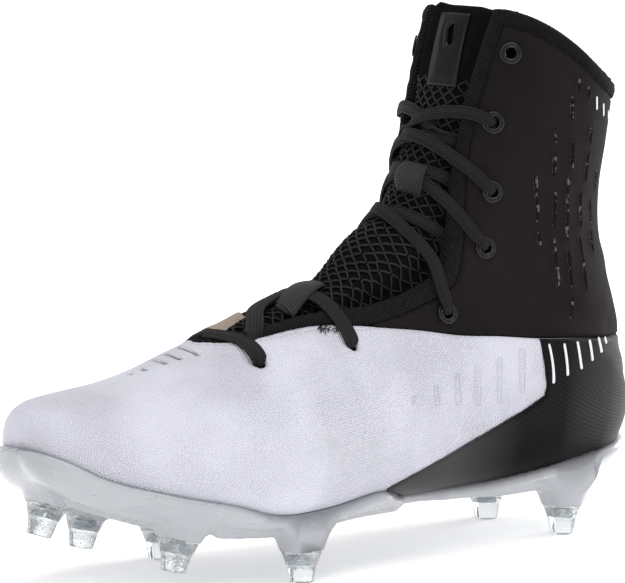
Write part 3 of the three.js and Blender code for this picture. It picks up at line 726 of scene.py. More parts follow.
def wovenTape():
    # woven nylon tape: dark grey, with cross ribs a little over a millimetre apart
    material = newMaterial("loopNylonWebbing", 0.55, IOR=1.53, Specular_IOR_Level=0.25, Sheen_Weight=0.03)
    along, around = pieceLengths(material)
    relief = weighted(material, (ribbed(material, along, 1.15), 1.0), (ribbed(material, around, 0.8), 0.3))
    tone = addNode(material, "MapRange", [relief, -1.2, 1.2])
    return finishSurface(material, "#0c0b0d", "#29272b", tone, relief, 0.8, 0.00022)


def frostedPlate():
    # injection-moulded clear thermoplastic polyurethane: frosted, faint flow streaks, milky in thick places
    material = newMaterial("plateClearTpu", 0.26, IOR=1.5, Transmission_Weight=0.2,
                           Coat_Weight=0.35, Coat_Roughness=0.12)
    flow = fleck(material, 3.0, 3, (8, 16, 30))
    rough = addNode(material, "MapRange", [flow, 0.3, 0.7, 0.2, 0.36])
    tone = addNode(material, "MapRange", [flow, 0.3, 0.7])
    return finishSurface(material, "#b3b5bb", "#bdbfc4", tone, flow, 0.15, 0.0003, rough)


def clearStudPlastic():
    # clear polycarbonate, moulded, scuffed near the tip, with the glitter of the knurled recess above it
    material = newMaterial("studClearPolycarbonate", 0.06, IOR=1.58, Transmission_Weight=0.95)
    scuff = fleck(material, 500, 4)
    height = placeParts(material)[2]
    low = addNode(material, "MapRange", [height, 0.006, 0.0, 0.0, 0.22])
    rough = addNode(material, "Math", [weighted(material, (scuff, low)), 0.05], operation="ADD")
    recess = addNode(material, "MapRange", [height, 0.005, 0.008, 0.0, 1.0])
    knurl = addNode(material, "Math", [fleck(material, 900, 2), recess], operation="MULTIPLY")
    relief = weighted(material, (knurl, 1.0), (scuff, 0.15))
    return finishSurface(material, "#e9eef1", "#f7fafb", scuff, relief, 0.6, 0.0007, rough)


def eyeletPlastic():
    # black acetal rings: moulded, soft gloss
    material = newMaterial("eyeletAcetal", 0.3, IOR=1.48, Specular_IOR_Level=0.35)
    wear = fleck(material, 900)
    rough = addNode(material, "MapRange", [wear, 0.3, 0.7, 0.16, 0.3])
    return finishSurface(material, "#030303", "#0c0c0d", wear, rough=rough)


def insoleKnit():
    # moulded foam under a thin knit: charcoal
    material = newMaterial("insoleFoamKnit", 0.92, IOR=1.45, Specular_IOR_Level=0.2)
    along, around = pieceLengths(material)
    rising, falling = diamonds(material, along, around, 1.6)
    tone = addNode(material, "MapRange", [rising, -1, 1])
    return finishSurface(material, "#1c1b1e", "#38373a", tone, falling, 0.5, 0.0002)


def cottonCanvas():
    # undyed canvas backing at the edge of the throat: beige, coarse
    material = newMaterial("tabCottonCanvas", 0.9, IOR=1.45, Specular_IOR_Level=0.2)
    along, around = pieceLengths(material)
    rising, falling = diamonds(material, along, around, 1.1)
    weave = addNode(material, "Math", [rising, falling], operation="MULTIPLY")
    tone = addNode(material, "MapRange", [weave, -1, 1])
    return finishSurface(material, "#8b7d70", "#b5a89b", tone, weave, 0.6, 0.0002)


whiteFilm, counterFilm, shaftKnit, bindingKnit = mouldedFilm(), counterFilmMaterial(), shaftTextile(), bindingTape()
# brushed polyester behind the net: near black, soaks up light
tongueFoam = speckled("tongueBrushedPolyester", 0.95, "#040404", "#121011", 600, 4, (0.6, 0.0003),
                      IOR=1.45, Specular_IOR_Level=0.08)
# extruded polyester spacer net: slightly glossy black strands
strandNet = speckled("spacerNetPolyester", 0.55, "#0c0b0c", "#242224", 1200, relief=(0.4, 0.0001),
                     IOR=1.5, Specular_IOR_Level=0.2)
panelLeather, laceBraid, webbing = smoothLeather(), braidedLace(), wovenTape()
clearPlate, clearStud = frostedPlate(), clearStudPlastic()
# turned and zinc-plated steel: bright, fine lathe marks
zincSteel = speckled("insertZincSteel", 0.22, "#8b9195", "#e2e7ea", 800, relief=(0.8, 0.0004), Metallic=1.0)
ringAcetal, insoleFoam = eyeletPlastic(), insoleKnit()
# brushed tricot lining: warm black, soft
lining = speckled("liningBrushedTricot", 0.95, "#141011", "#2c2326", 520, 4, (0.5, 0.0003),
                  IOR=1.45, Specular_IOR_Level=0.1, Sheen_Weight=0.03)
# raised white polyurethane print: clean, satin
whiteBar = speckled("barWhitePolyurethane", 0.4, "#d6d6dc", "#e8e8ee", 800, IOR=1.5)
canvasTab = cottonCanvas()
# matt paper sweep, near white
floorPaper = speckled("floorPaper", 0.9, "#f9f9f9", "#fdfdfd", 300, relief=(0.05, 0.0002),
                      IOR=1.45, Emission_Color=(1, 1, 1, 1), Emission_Strength=0.32)
# frayed polyester yarn: black, dull
laceYarn = speckled("frayedPolyesterYarn", 0.8, "#060606", "#1c1b1c", 1500, IOR=1.5, Specular_IOR_Level=0.15)
print("materials made")

# Studio: a white paper floor, a bright horizon with a dimmer ceiling, one broad overhead light and a small key.
studio = {
    "floorSide": 30.0, "horizon": 1.0, "ceiling": 0.62, "ceilingFrom": 0.08, "ceilingTo": 0.6,
    "broadPower": 1.5, "broadAngle": 50.0, "broadFrom": (-0.1, 0.12, 1.0),
    # place, size in metres, power in watts
    "lights": [((1.3, 0.9, 1.1), 0.4, 4.0), ((-1.5, -0.1, 0.5), 0.5, 10.0)],
}


def makeStudio(values):
    bpy.ops.mesh.primitive_plane_add(size=values["floorSide"])
    floor = bpy.context.object
    floor.name = "paperFloor"
    floor.data.materials.append(floorPaper)
    scene = bpy.context.scene
    scene.world = scene.world or bpy.data.worlds.new("studio")
    scene.world.use_nodes = True
    direction = addNode(scene.world, "TexCoord", output="Generated")
    height = addNode(scene.world, "SeparateXYZ", [direction]).node.outputs[2]
    levels = [values[key] for key in ("ceilingFrom", "ceilingTo", "horizon", "ceiling")]
    level = addNode(scene.world, "MapRange", [height, *levels])
    background = scene.world.node_tree.nodes["Background"]
    background.inputs[0].default_value = srgb("#ffffff")
    scene.world.node_tree.links.new(level, background.inputs[1])
    bpy.ops.object.light_add(type="SUN")
    broad = bpy.context.object
    broad.name = "broadLight"
    broad.data.energy = values["broadPower"]
    broad.data.angle = math.radians(values["broadAngle"])
    broad.rotation_euler = Vector(values["broadFrom"]).to_track_quat("Z", "Y").to_euler()
    aim = Vector(photoCamera["target"])
    for i, (place, side, power) in enumerate(values["lights"]):
        bpy.ops.object.light_add(type="AREA", location=place)
        lamp = bpy.context.object
        lamp.name = "softLight" + str(i + 1)
        lamp.data.size = side
        lamp.data.energy = power
        lamp.rotation_euler = (Vector(place) - aim).to_track_quat("Z", "Y").to_euler()
    scene.view_settings.view_transform = "Standard"


makeStudio(studio)
print("studio set")

# Plate: one cup under the foot, pulled down into a boss round each stud, with ribs on its sides.
plate = {
    "inner": 0.9, "side": 1.6, "floor": 2.7, "corner": 2.0, "edge": 0.5, "step": 1.25, "sideFrom": 60.0,
    "bossRim": 8.6, "bossFlare": 4.5, "bossDepth": 8.5, "bossReach": 30.0, "bossFrom": 1.75,
    "studLength": 12.0, "gap": 0.3, "bore": 3.3, "boreTop": 17.3, "blend": 7.0, "ribFade": 3.0,
}
# name, share of the length, share of the ball, tip height share of the instep, lean in degrees
studPlaces = [
    ["heel_lateral", 0.137, 0.232, 0, 0], ["heel_medial", 0.137, -0.232, 0, 0],
    ["ball_lateral", 0.643, 0.331, 0, 0], ["ball_medial", 0.683, -0.4, 0, 0],
    ["front_lateral", 0.823, 0.2, 0.101, 13], ["front_medial", 0.823, -0.379, 0.115, 11.4],
    ["toe", 0.947, -0.158, 0.256, 18],
]
# section and angle at both ends, half width and height in millimetres
plateRibs = [
    [(9.2, 180), (13.4, 180), 5.0, 3.0], [(8.6, 150), (13.8, 152), 4.5, 2.6], [(8.6, -150), (13.8, -152), 4.5, 2.6],
    [(6.4, 138), (8.3, 144), 3.6, 3.0], [(6.0, -144), (7.7, -142), 3.6, 3.0],
    [(3.4, 166), (5.4, 152), 3.6, 2.2], [(3.4, -164), (5.4, -148), 3.6, 2.2],
    [(9.3, 117), (12.2, 137), 1.8, 0.7], [(9.1, 126), (11.6, 143), 1.6, 0.6], [(6.2, 118), (7.6, 128), 1.8, 0.6],
    [(6.5, 126), (7.9, 133), 1.4, 0.5], [(14.7, 128), (15.9, 150), 1.8, 0.6], [(15.2, 124), (16.4, 146), 1.6, 0.5],
]


def studFrame(stud):
    _, along, across, tip, lean = stud
    point = Vector((along * shoe["length"], across * shoe["ball"], tip * shoe["instep"]))
    return Matrix.Translation(point) @ Matrix.Rotation(-math.radians(lean), 4, "Y")


def axisPlace(points, stud):  # distance from the stud's axis and height over its tip
    matrix = np.array(studFrame(stud))
    axis, tip = matrix[:3, 2], matrix[:3, 3]
    height = (points - tip) @ axis
    return np.linalg.norm(points - tip - height[:, None] * axis, axis=-1), height, axis


def plateOffset(angle):
    under = np.clip(-np.cos(angle) * 1.6, 0, 1)
    corner = np.where(np.cos(angle) < 0, np.sin(2 * angle) ** 2, 0)
    return plate["inner"] + plate["side"] + (plate["floor"] - plate["side"]) * under + plate["corner"] * corner


def makePlate():
    places = placeLines(-1, 17.2, plate["step"], (100, 180))
    angles = mirrored(angleLines(0, 180, plate["step"], [4, 8, 12, 15]))
    patch = trimPatch(gridPatch(places, angles, around=True), lambda s, a: -aboveFeather(s, a))
    patch = trimPatch(patch, lambda s, a: np.abs(a) - math.radians(plate["sideFrom"]))
    rim, low = plate["bossRim"], plate["studLength"] + plate["gap"]
    for stud in studPlaces:
        for radius in (rim, plate["bore"]):  # 9.0 keeps the line off the sides of the form
            patch, _ = snapPatch(patch, lambda s, a: np.where(
                np.abs(a) > plate["bossFrom"], axisPlace(onForm(s, a, plateOffset(a)), stud)[0] - radius, 9.0))
    s, a = patch["at"].T
    distance = edgeDistance(patch)
    points = formPoint(s, a)
    offset = plateOffset(a)
    for start, end, width, height in plateRibs:
        bump = softDip(segmentDistance(points, start, end), width) * height
        offset = offset + np.where(distance < plate["ribFade"], bump * distance / plate["ribFade"], bump)
    over = onForm(s, a, offset - rolled(distance, plate["edge"]))
    depth, flare = plate["bossDepth"], plate["bossFlare"]
    flareHeights = [low, low, low + 0.25 * depth, low + 0.6 * depth, low + 1.35 * depth, 60]
    flareRadii = [0, rim, rim + 0.7, rim + 0.4 * flare, rim + 1.25 * flare, rim + 3 * flare]
    for stud in studPlaces:
        away, height, axis = axisPlace(over, stud)
        wanted = np.interp(away, flareRadii, flareHeights)
        blend = np.clip(0.5 + 0.5 * (height - wanted) / plate["blend"], 0, 1)
        lower = height + (wanted - height) * blend - plate["blend"] * blend * (1 - blend)
        lower = np.where(away <= rim, wanted, np.minimum(lower, height))
        lower = np.where(away < plate["bore"] - 0.05, plate["boreTop"], lower)
        lower = np.where((away < plate["bossReach"]) & (np.abs(a) > plate["bossFrom"]), lower, height)
        over = over + (lower - height)[:, None] * axis
    piece = wallMesh("outsolePlate", patch, over, onForm(s, a, plate["inner"]), distance)
    finishPiece(piece, [clearPlate], "plate", "outsole_plate")


makePlate()

# Small dark bar under the arch, over the plate's middle rib.
archBar = {"from": 13.15, "to": 13.6, "angle": 187.0, "halfWidth": 2.6, "radius": 36.0, "lines": 9,
           "rise": 1.1, "sink": 0.4, "edge": 0.6}


def makeArchBar():
    places = np.linspace(archBar["from"], archBar["to"], archBar["lines"])
    turns = np.linspace(-1, 1, archBar["lines"]) * archBar["halfWidth"] / archBar["radius"]
    patch = gridPatch(places, math.radians(archBar["angle"]) + turns)
    s, a = patch["at"].T
    distance = edgeDistance(patch)
    start, end, width, height = plateRibs[0]
    base = plateOffset(a) + softDip(segmentDistance(formPoint(s, a), start, end), width) * height
    top = base + archBar["rise"] - rolled(distance, archBar["edge"])
    finishPiece(formWall("archBar", patch, top, base - archBar["sink"], distance), [ringAcetal], "counter")


makeArchBar()

# Studs: turned clear cones with a recess for the insert and shallow wrench slots near the tip.
studShape = {
    "profile": [(0, 0.25), (1.6, 0), (4.3, 0), (4.7, 0.35), (5.0, 2.0), (5.6, 5.6), (6.3, 7.4), (7.8, 11.4),
                (8.0, 11.75), (7.8, 12.0), (4.9, 12.0), (4.9, 7.3), (0, 7.3)],
    "sides": 36, "smooth": 28.0,
    "slots": 3, "slotLow": 0.3, "slotHigh": 5.7, "slotTurn": 20.0, "slotInset": 0.0004, "slotDepth": -0.0005,
}
insertShape = {
    "head": [(0, 7.6), (4.2, 7.6), (4.55, 7.95), (4.55, 11.65), (4.2, 12.0), (0, 12.0)], "headSides": 6,
    "threads": 5, "threadFrom": 12.2, "threadTo": 16.9, "threadIn": 2.55, "threadOut": 2.95, "sides": 24,
    "root": 11.9, "bevel": 0.0002, "bevelFrom": 40.0, "smooth": 35.0,
}


def pick(active, *others):  # selects these pieces alone
    bpy.ops.object.select_all(action="DESELECT")
    bpy.context.view_layer.objects.active = active
    for piece in (active, *others):
        piece.select_set(True)


def spinProfile(name, profile, sides, closed=False):  # radius and height in millimetres, turned about Z
    mesh = bpy.data.meshes.new(name)
    edges = [(i, i + 1) for i in range(len(profile) - 1)] + ([(len(profile) - 1, 0)] if closed else [])
    mesh.from_pydata([(r * 0.001, 0, h * 0.001) for r, h in profile], edges, [])
    piece = newPiece(name, mesh)
    pick(piece)
    bpy.ops.object.mode_set(mode="EDIT")
    bpy.ops.mesh.select_all(action="SELECT")
    bpy.ops.mesh.spin(steps=sides, angle=2 * math.pi, center=(0, 0, 0), axis=(0, 0, 1))
    bpy.ops.mesh.select_all(action="SELECT")
    bpy.ops.mesh.remove_doubles(threshold=0.00001)
    bpy.ops.mesh.normals_make_consistent(inside=False)
    bpy.ops.object.mode_set(mode="OBJECT")
    return piece


def cutSlots(piece, values):
    bpy.ops.object.mode_set(mode="EDIT")
    bpy.ops.mesh.select_all(action="DESELECT")
    bpy.ops.object.mode_set(mode="OBJECT")
    for face in piece.data.polygons:
        centre, normal = face.center, face.normal
        turn = math.degrees(math.atan2(centre.y, centre.x)) % (360 / values["slots"])
        outside = math.hypot(normal.x, normal.y) > 0.5 and normal.x * centre.x + normal.y * centre.y > 0
        low = values["slotLow"] < centre.z * 1000 < values["slotHigh"]
        face.select = bool(outside and low and turn < values["slotTurn"])
    bpy.ops.object.mode_set(mode="EDIT")
    bpy.ops.mesh.inset(thickness=values["slotInset"], use_even_offset=True)
    bpy.ops.transform.shrink_fatten(value=values["slotDepth"])
    bpy.ops.object.mode_set(mode="OBJECT")


def smoothPiece(piece, degrees):
    pick(piece)
    bpy.ops.object.shade_smooth_by_angle(angle=math.radians(degrees))


def placedCopy(model, name, matrix):  # a copy with its own mesh, its place in the mesh
    copy = model.copy()
    copy.data = model.data.copy()
    copy.name = copy.data.name = name
    bpy.context.scene.collection.objects.link(copy)
    copy.data.transform(matrix)
    return copy


def toFrameMatrix(matrix):  # from millimetres at the heel to metres in the frame
    moved = matrix.copy()
    moved.translation = Vector(toFrame(np.array(matrix.translation)))
    return moved


def makeStuds():
    stud = spinProfile("studModel", studShape["profile"], studShape["sides"])
    cutSlots(stud, studShape)
    smoothPiece(stud, studShape["smooth"])
    head = spinProfile("insertModel", insertShape["head"], insertShape["headSides"])
    low, high, count = insertShape["threadFrom"], insertShape["threadTo"], insertShape["threads"]
    inner, root = insertShape["threadIn"], insertShape["root"]
    thread, rise = [(0, high)], (high - low) / count
    for i in range(count):
        top = high - i * rise
        thread += [(inner, top), (insertShape["threadOut"], top - rise / 2)]
    stem = spinProfile("stemModel", thread + [(inner, low), (inner, root), (0, root)], insertShape["sides"])
    pick(head, stem)
    bpy.ops.object.join()
    bevel = head.modifiers.new("bevel", "BEVEL")
    bevel.width, bevel.segments = insertShape["bevel"], 2
    bevel.limit_method, bevel.angle_limit = "ANGLE", math.radians(insertShape["bevelFrom"])
    bpy.ops.object.modifier_apply(modifier=bevel.name)
    smoothPiece(head, insertShape["smooth"])
    for place in studPlaces:
        matrix = toFrameMatrix(studFrame(place))
        name = "".join(part.capitalize() for part in place[0].split("_"))
        finishPiece(placedCopy(stud, "stud" + name, matrix), [clearStud], "stud", "stud_" + place[0])
        finishPiece(placedCopy(head, "insert" + name, matrix), [zincSteel], "insert", "insert_" + place[0])
    for model in (stud, head):
        bpy.data.objects.remove(model)


makeStuds()

# Insole: foam that fills the opening under the foot, its top just over the upper's turned-in edge.
insole = {"half": 48.0, "lines": 37, "from": 2.7, "to": 15.0, "top": -2.2, "thickness": 4.0,
          "plugHalf": 36.0, "plugFrom": 2.0, "plugTop": 0.2, "step": 3.0}


def makeInsole():
    places = placeLines(insole["plugFrom"], insole["to"], insole["step"], (140, 180))
    angles = math.pi + np.radians(np.linspace(-insole["half"], insole["half"], insole["lines"]))
    patch = gridPatch(places, angles)
    s, a = patch["at"].T
    plug = (np.abs(np.degrees(a) - 180) < insole["plugHalf"]) | (s < insole["from"])
    patch["faces"] = patch["faces"][:, ::-1]
    piece = formWall("insoleBed", patch, np.where(plug, insole["plugTop"], insole["top"]), -insole["thickness"])
    finishPiece(piece, [insoleFoam], "insole", "insole")


makeInsole()

# Upper: white film shell with toe slits, pressed dashes and soft creases.
upper = {"proud": 0.6, "wall": 2.2, "edge": 0.5, "step": 1.75, "openHalf": 38.0, "openFrom": 1.8, "openTo": 15.2,
         "punch": 2.6, "slitHalf": 0.7, "dashHalf": 1.35, "dashDepth": 0.6, "bead": 0.35}
toeSlits = [
    [(7.09, -4.5), (7.03, 12)], [(6.74, -6), (6.7, 9)], [(6.45, -8), (6.4, 6.5)], [(5.98, 0.5), (5.98, 5)],
    [(5.68, 0.5), (5.65, 2.5)],
]
pressedDashes = [
    [(11.3, 73.5), (11.25, 74.5)], [(11.98, 73), (11.8, 78)], [(12.58, 72.5), (12.28, 80.5)],
    [(13.1, 73), (12.68, 83)], [(13.73, 74), (13.15, 85)], [(14.45, 75), (13.75, 85)],
]
# path over the form, half width and depth in millimetres; a ridge is a negative depth
upperCreases = [
    [[(7.2, 14), (7.9, 34), (8.6, 52)], 7.0, 0.5], [[(7.9, 16), (8.7, 38), (9.5, 55)], 5.0, -0.35],
    [[(8.9, 33), (9.6, 50), (10.2, 66)], 6.0, 0.4], [[(7.2, -14), (7.9, -34), (8.6, -52)], 7.0, 0.5],
    [[(8.9, -33), (9.6, -50), (10.2, -66)], 6.0, 0.4], [[(11.6, 52), (12.4, 66), (12.9, 80)], 8.0, 0.35],
    [[(11.6, -52), (12.4, -66), (12.9, -80)], 8.0, 0.35], [[(6.2, 40), (6.6, 70)], 6.0, 0.3],
    [[(6.2, -40), (6.6, -70)], 6.0, 0.3],
]


def holeField(places, radius):
    centres = [(place, side * math.radians(angle)) for place, angle in places for side in (1, -1)]
    points = np.array([formPoint(*centre) for centre in centres])

    def field(place, angle):
        here = formPoint(place, angle)
        return np.min([np.linalg.norm(here - point, axis=-1) for point in points], axis=0) - radius
    return field


def slitField(slits, halfWidth):
    def field(place, angle):
        return pathDistanceList(formPoint(place, angle), slits) - halfWidth
    return field


def pathDistanceList(points, runs):
    return np.min([segmentDistance(points, run[0], run[1]) for run in runs], axis=0)


def underFootField(half, start, end):
    def field(place, angle):
        lean = np.abs((np.abs(angle) - math.pi))
        acrossOut = (lean - math.radians(half)) * 40
        alongOut = np.maximum(start - place, place - end) * 9
        return np.maximum(acrossOut, alongOut)
    return field


def counterSink(place, angle):  # the counter comes down flush with the shaft at its top edge
    rear = softStep(np.abs(angle), math.radians(72), math.radians(100))
    return (0.5 + 1.1 * rear) * softDip(belowTopLine(place, angle), 11)


def bothSides(runs):
    return runs + [[(p, -q) for p, q in run] for run in runs]


def makeUpper():
    places = placeLines(-1, 21, upper["step"], (0, 180), [(5.55, 7.2, 2.6), (11.1, 14.6, 1.5), (7.2, 8.2, 1.4)])
    angles = angleLines(0, 180, upper["step"], [4, 8, 12], [(0, 13, 2.0), (71, 87, 1.6)])
    patch = gridPatch(places, mirrored(angles), around=True)
    for field in (lambda s, a: belowTopLine(s, a) - seamGap, lambda s, a: outsideThroat(s, a, 2),
                  underFootField(upper["openHalf"], upper["openFrom"], upper["openTo"]),
                  holeField(punchPlaces, upper["punch"]), slitField(toeSlits, upper["slitHalf"])):
        patch = trimPatch(patch, field)
    s, a = patch["at"].T
    points = formPoint(s, a)
    distance = edgeDistance(patch)
    offset = upper["proud"] - rolled(distance, upper["edge"])
    dashes = pathDistanceList(points, pressedDashes)
    offset = offset - upper["dashDepth"] * (1 - softStep(dashes, upper["dashHalf"] - 0.7, upper["dashHalf"] + 0.5))
    offset = offset + 0.2 * softDip(np.abs(dashes - upper["dashHalf"] - 1.0), 0.9)
    for path, width, depth in upperCreases:
        offset = offset - depth * softDip(pathDistance(points, path), width)
    counterEdge = polygonField(counterFront)(s, a)
    offset = offset - counterSink(s, a) * softStep(counterEdge, 0, 2)
    offset = offset + upper["bead"] * softDip(np.abs(counterEdge + 1.0), 1.5) * (distance > 1)
    seam = [(place, math.degrees(throatAngle(place, 2))) for place in np.arange(7.45, 12.4, 0.25)]
    row = np.minimum(*(pathDistance(points, run) for run in bothSides([seam])))
    piece = formWall("upperShell", patch, offset, upper["proud"] - upper["wall"], row, lined=True, pressed=dashes)
    finishPiece(piece, [whiteFilm, lining], "upper", "upper")


makeUpper()

# Counter: black overlay round the heel, with white bars printed near its top.
counter = {"inner": 0.9, "thickness": 1.0, "edge": 0.6, "step": 1.15, "frontFrom": 50.0,
           "barHalf": 0.62, "barRise": 0.28, "barStep": 0.45}
counterBars = [
    [(15.33, 78.5), (14.6, 87)], [(15.78, 82.5), (15.15, 88)], [(16.2, 86.5), (15.7, 90.5)], [(16.6, 91), (16.2, 94)],
    [(16.98, 97.5), (16.68, 99)], [(17.28, 105), (17.18, 105.5)],
]


def makeCounter():
    places = placeLines(9.6, 21, counter["step"], (75, 180))
    angles = mirrored(angleLines(0, 180, counter["step"], [11, 13, 15, 16.5]))
    patch = gridPatch(places, angles, around=True)
    for field in (lambda s, a: np.abs(a) - math.radians(counter["frontFrom"]), polygonField(counterFront),
                  lambda s, a: belowTopLine(s, a) - seamGap, lambda s, a: aboveFeather(s, a) - 0.3):
        patch = trimPatch(patch, field)
    distance = edgeDistance(patch)
    sink = counterSink(*patch["at"].T)
    offset = counter["inner"] + counter["thickness"] - sink - rolled(distance, counter["edge"])
    piece = formWall("heelCounter", patch, offset, counter["inner"] - sink, distance)
    finishPiece(piece, [counterFilm], "counter", "heel_counter")


def onBar(start, end, halfWidth, step, probe=0.01):  # a rounded bar between two places, as its own small net
    first, last = (np.array([p, math.radians(q)]) for p, q in (start, end))
    length = float(np.linalg.norm(formPoint(*last) - formPoint(*first)))
    run = (last - first) / max(length, 0.3)
    middle = (first + last) / 2
    alongPlace = (formPoint(middle[0] + probe, middle[1]) - formPoint(middle[0] - probe, middle[1])) / (2 * probe)
    alongAngle = (formPoint(middle[0], middle[1] + probe) - formPoint(middle[0], middle[1] - probe)) / (2 * probe)
    direction = unit(run[0] * alongPlace + run[1] * alongAngle)
    across = np.cross(formNormal(*middle), direction)
    side = np.linalg.lstsq(np.stack([alongPlace, alongAngle], -1), across, rcond=None)[0]
    forward = np.linalg.lstsq(np.stack([alongPlace, alongAngle], -1), direction, rcond=None)[0]
    reach = length / 2 + halfWidth
    xs = np.linspace(-length / 2 - halfWidth, reach, max(int((length + 2 * halfWidth) / step), 4) + 1)
    patch = gridPatch(xs, np.linspace(-halfWidth, halfWidth, 7))
    local = patch["at"].copy()
    overrun = np.maximum(np.abs(local[:, 0]) - length / 2, 0)
    wide = np.sqrt(np.maximum(halfWidth ** 2 - np.minimum(overrun, halfWidth * 0.93) ** 2, 0))
    local[:, 1] *= wide / halfWidth
    patch["at"] = middle + local[:, :1] * forward + local[:, 1:] * side
    return patch


def makeBars(name, bars, base, rise, halfWidth, step, sink=0.15):
    parts = []
    for i, (start, end) in enumerate(bars):
        for sign in (1, -1):
            patch = onBar((start[0], sign * start[1]), (end[0], sign * end[1]), halfWidth, step)
            distance = edgeDistance(patch, 2.0)
            parts.append(formWall(name + str(i) + ("a" if sign > 0 else "b"), patch,
                                  base + rise - rolled(distance, rise), base - sink, distance))
    pick(*parts)
    bpy.ops.object.join()
    parts[0].name = name
    finishPiece(parts[0], [whiteBar], "upper")


makeCounter()
makeBars("counterBars", counterBars, counter["inner"] + counter["thickness"], counter["barRise"], counter["barHalf"],
         counter["barStep"])

# Shaft: black knit over foam with pressed slots in columns near the heel and soft folds at the ankle.
shaft = {"wall": 3.2, "edge": 0.7, "step": 1.9, "slotHalf": 0.6, "slotDepth": 0.85, "slotLip": 0.22, "band": 6.5,
         "hole": 3.2, "barRise": 0.3, "barHalf": 0.5, "barStep": 0.4}
shaftSlots = [
    [(22.41, 80.7), (22.26, 81.5)], [(21.86, 82.7), (21.26, 83.6)], [(20.7, 84.1), (19.58, 81.0)],
    [(18.96, 78.9), (18.19, 77.6)], [(18.0, 78.1), (17.4, 77.4)], [(23.57, 85.7), (23.07, 89.0)],
    [(22.43, 93.3), (21.8, 96.0)], [(21.36, 94.0), (19.44, 87.8)], [(18.93, 86.2), (17.88, 84.1)],
    [(17.5, 83.8), (16.86, 84.1)], [(24.15, 87.2), (23.91, 89.0)], [(23.97, 96.4), (23.81, 97.4)],
    [(23.03, 105.9), (22.71, 107.5)], [(22.37, 108.3), (21.71, 109.5)], [(21.21, 105.4), (20.28, 102.1)],
    [(19.76, 99.2), (18.97, 95.8)], [(18.72, 94.8), (18.28, 94.0)], [(22.13, 123.5), (21.75, 124.1)],
    [(21.27, 117.9), (20.73, 116.7)], [(20.33, 113.5), (19.8, 111.4)], [(20.87, 72.3), (19.31, 71.7)],
    [(18.76, 71.3), (18.34, 70.8)],
]
shaftBars = [[(23.84, 105.7), (23.57, 108.0)], [(23.75, 115.4), (23.51, 118.5)], [(23.67, 127.4), (23.54, 130.8)]]
shaftFolds = [
    [[(15.6, 52), (16.6, 72), (17.3, 96)], 9.0, 0.7], [[(16.4, 60), (17.6, 84), (18.4, 112)], 8.0, -0.5],
    [[(18.4, 58), (19.2, 80), (19.8, 104)], 10.0, 0.6], [[(20.6, 60), (21.0, 84), (21.2, 120)], 9.0, 0.45],
    [[(18.2, 150), (19.4, 168), (19.8, 180)], 9.0, 0.8], [[(20.2, 140), (20.8, 165), (21.0, 180)], 9.0, -0.5],
    [[(14.6, 62), (14.2, 70), (13.6, 76)], 7.0, 0.4], [[(22.6, 60), (22.9, 78), (23.0, 96)], 9.0, 0.35],
]


def makeShaft():
    places = placeLines(11.4, 26, shaft["step"], (35, 180), [(16.6, 24.4, 1.35)])
    angles = mirrored(angleLines(0, 180, shaft["step"], [15, 18, 21, 24], [(69, 126, 2.5)]))
    patch = gridPatch(places, angles, around=True)
    for field in (lambda s, a: -belowTopLine(s, a) - seamGap, lambda s, a: outsideThroat(s, a, 2) - 0.3,
                  lambda s, a: belowCollar(s, a) - shaft["band"], holeField(eyeletPlaces, shaft["hole"])):
        patch = trimPatch(patch, field)
    points = formPoint(*patch["at"].T)
    distance = edgeDistance(patch)
    offset = -rolled(distance, shaft["edge"])
    slots = pathDistanceList(points, bothSides(shaftSlots))
    offset = offset - shaft["slotDepth"] * (1 - softStep(slots, 0.3, shaft["slotHalf"] + 0.25))
    offset = offset + shaft["slotLip"] * softDip(np.abs(slots - shaft["slotHalf"] - 0.8), 1.0)
    for path, width, depth in shaftFolds:
        for run in bothSides([path]):
            offset = offset - depth * softDip(pathDistance(points, run), width) * softStep(distance, 0, 5)
    piece = formWall("shaftSleeve", patch, offset, -shaft["wall"], slots, lined=True)
    finishPiece(piece, [shaftKnit, lining], "textile", "shaft")


makeShaft()
makeBars("shaftBars", shaftBars, 0.0, shaft["barRise"], shaft["barHalf"], shaft["barStep"])

# Binding: a padded knit tape along the throat and a rolled band round the collar.
binding = {"proud": 0.5, "wall": 3.2, "edge": 1.5, "innerEdge": 1.2, "step": 1.3, "puff": 0.45, "puckerPitch": 7.0,
           "pucker": 0.14, "lap": 0.6, "gap": 0.3}


def makeBinding():
    places = placeLines(7.3, 26, binding["step"], (0, 180))
    angles = mirrored(angleLines(0, 180, binding["step"], [9, 14, 20, 25]))
    patch = gridPatch(places, angles, around=True)
    for field in (belowCollar, lambda s, a: outsideThroat(s, a, 1) - 0.2,
                  lambda s, a: np.maximum(binding["gap"] - outsideThroat(s, a, 2),
                                          shaft["band"] + binding["lap"] - belowCollar(s, a))):
        patch = trimPatch(patch, field)
    distance = edgeDistance(patch)
    lengths = surfaceLengths(*patch["at"].T).sum(-1)
    offset = binding["proud"] + binding["puff"] * softStep(distance, 0, 4.0) - rolled(distance, binding["edge"])
    offset = offset + binding["pucker"] * np.sin(2 * math.pi * lengths / binding["puckerPitch"])
    inner = -binding["wall"] + rolled(distance, binding["innerEdge"])
    piece = formWall("throatAndCollarBinding", patch, offset, inner, distance, lined=True)
    finishPiece(piece, [bindingKnit, lining], "binding", "throat_and_collar_binding")


makeBinding()

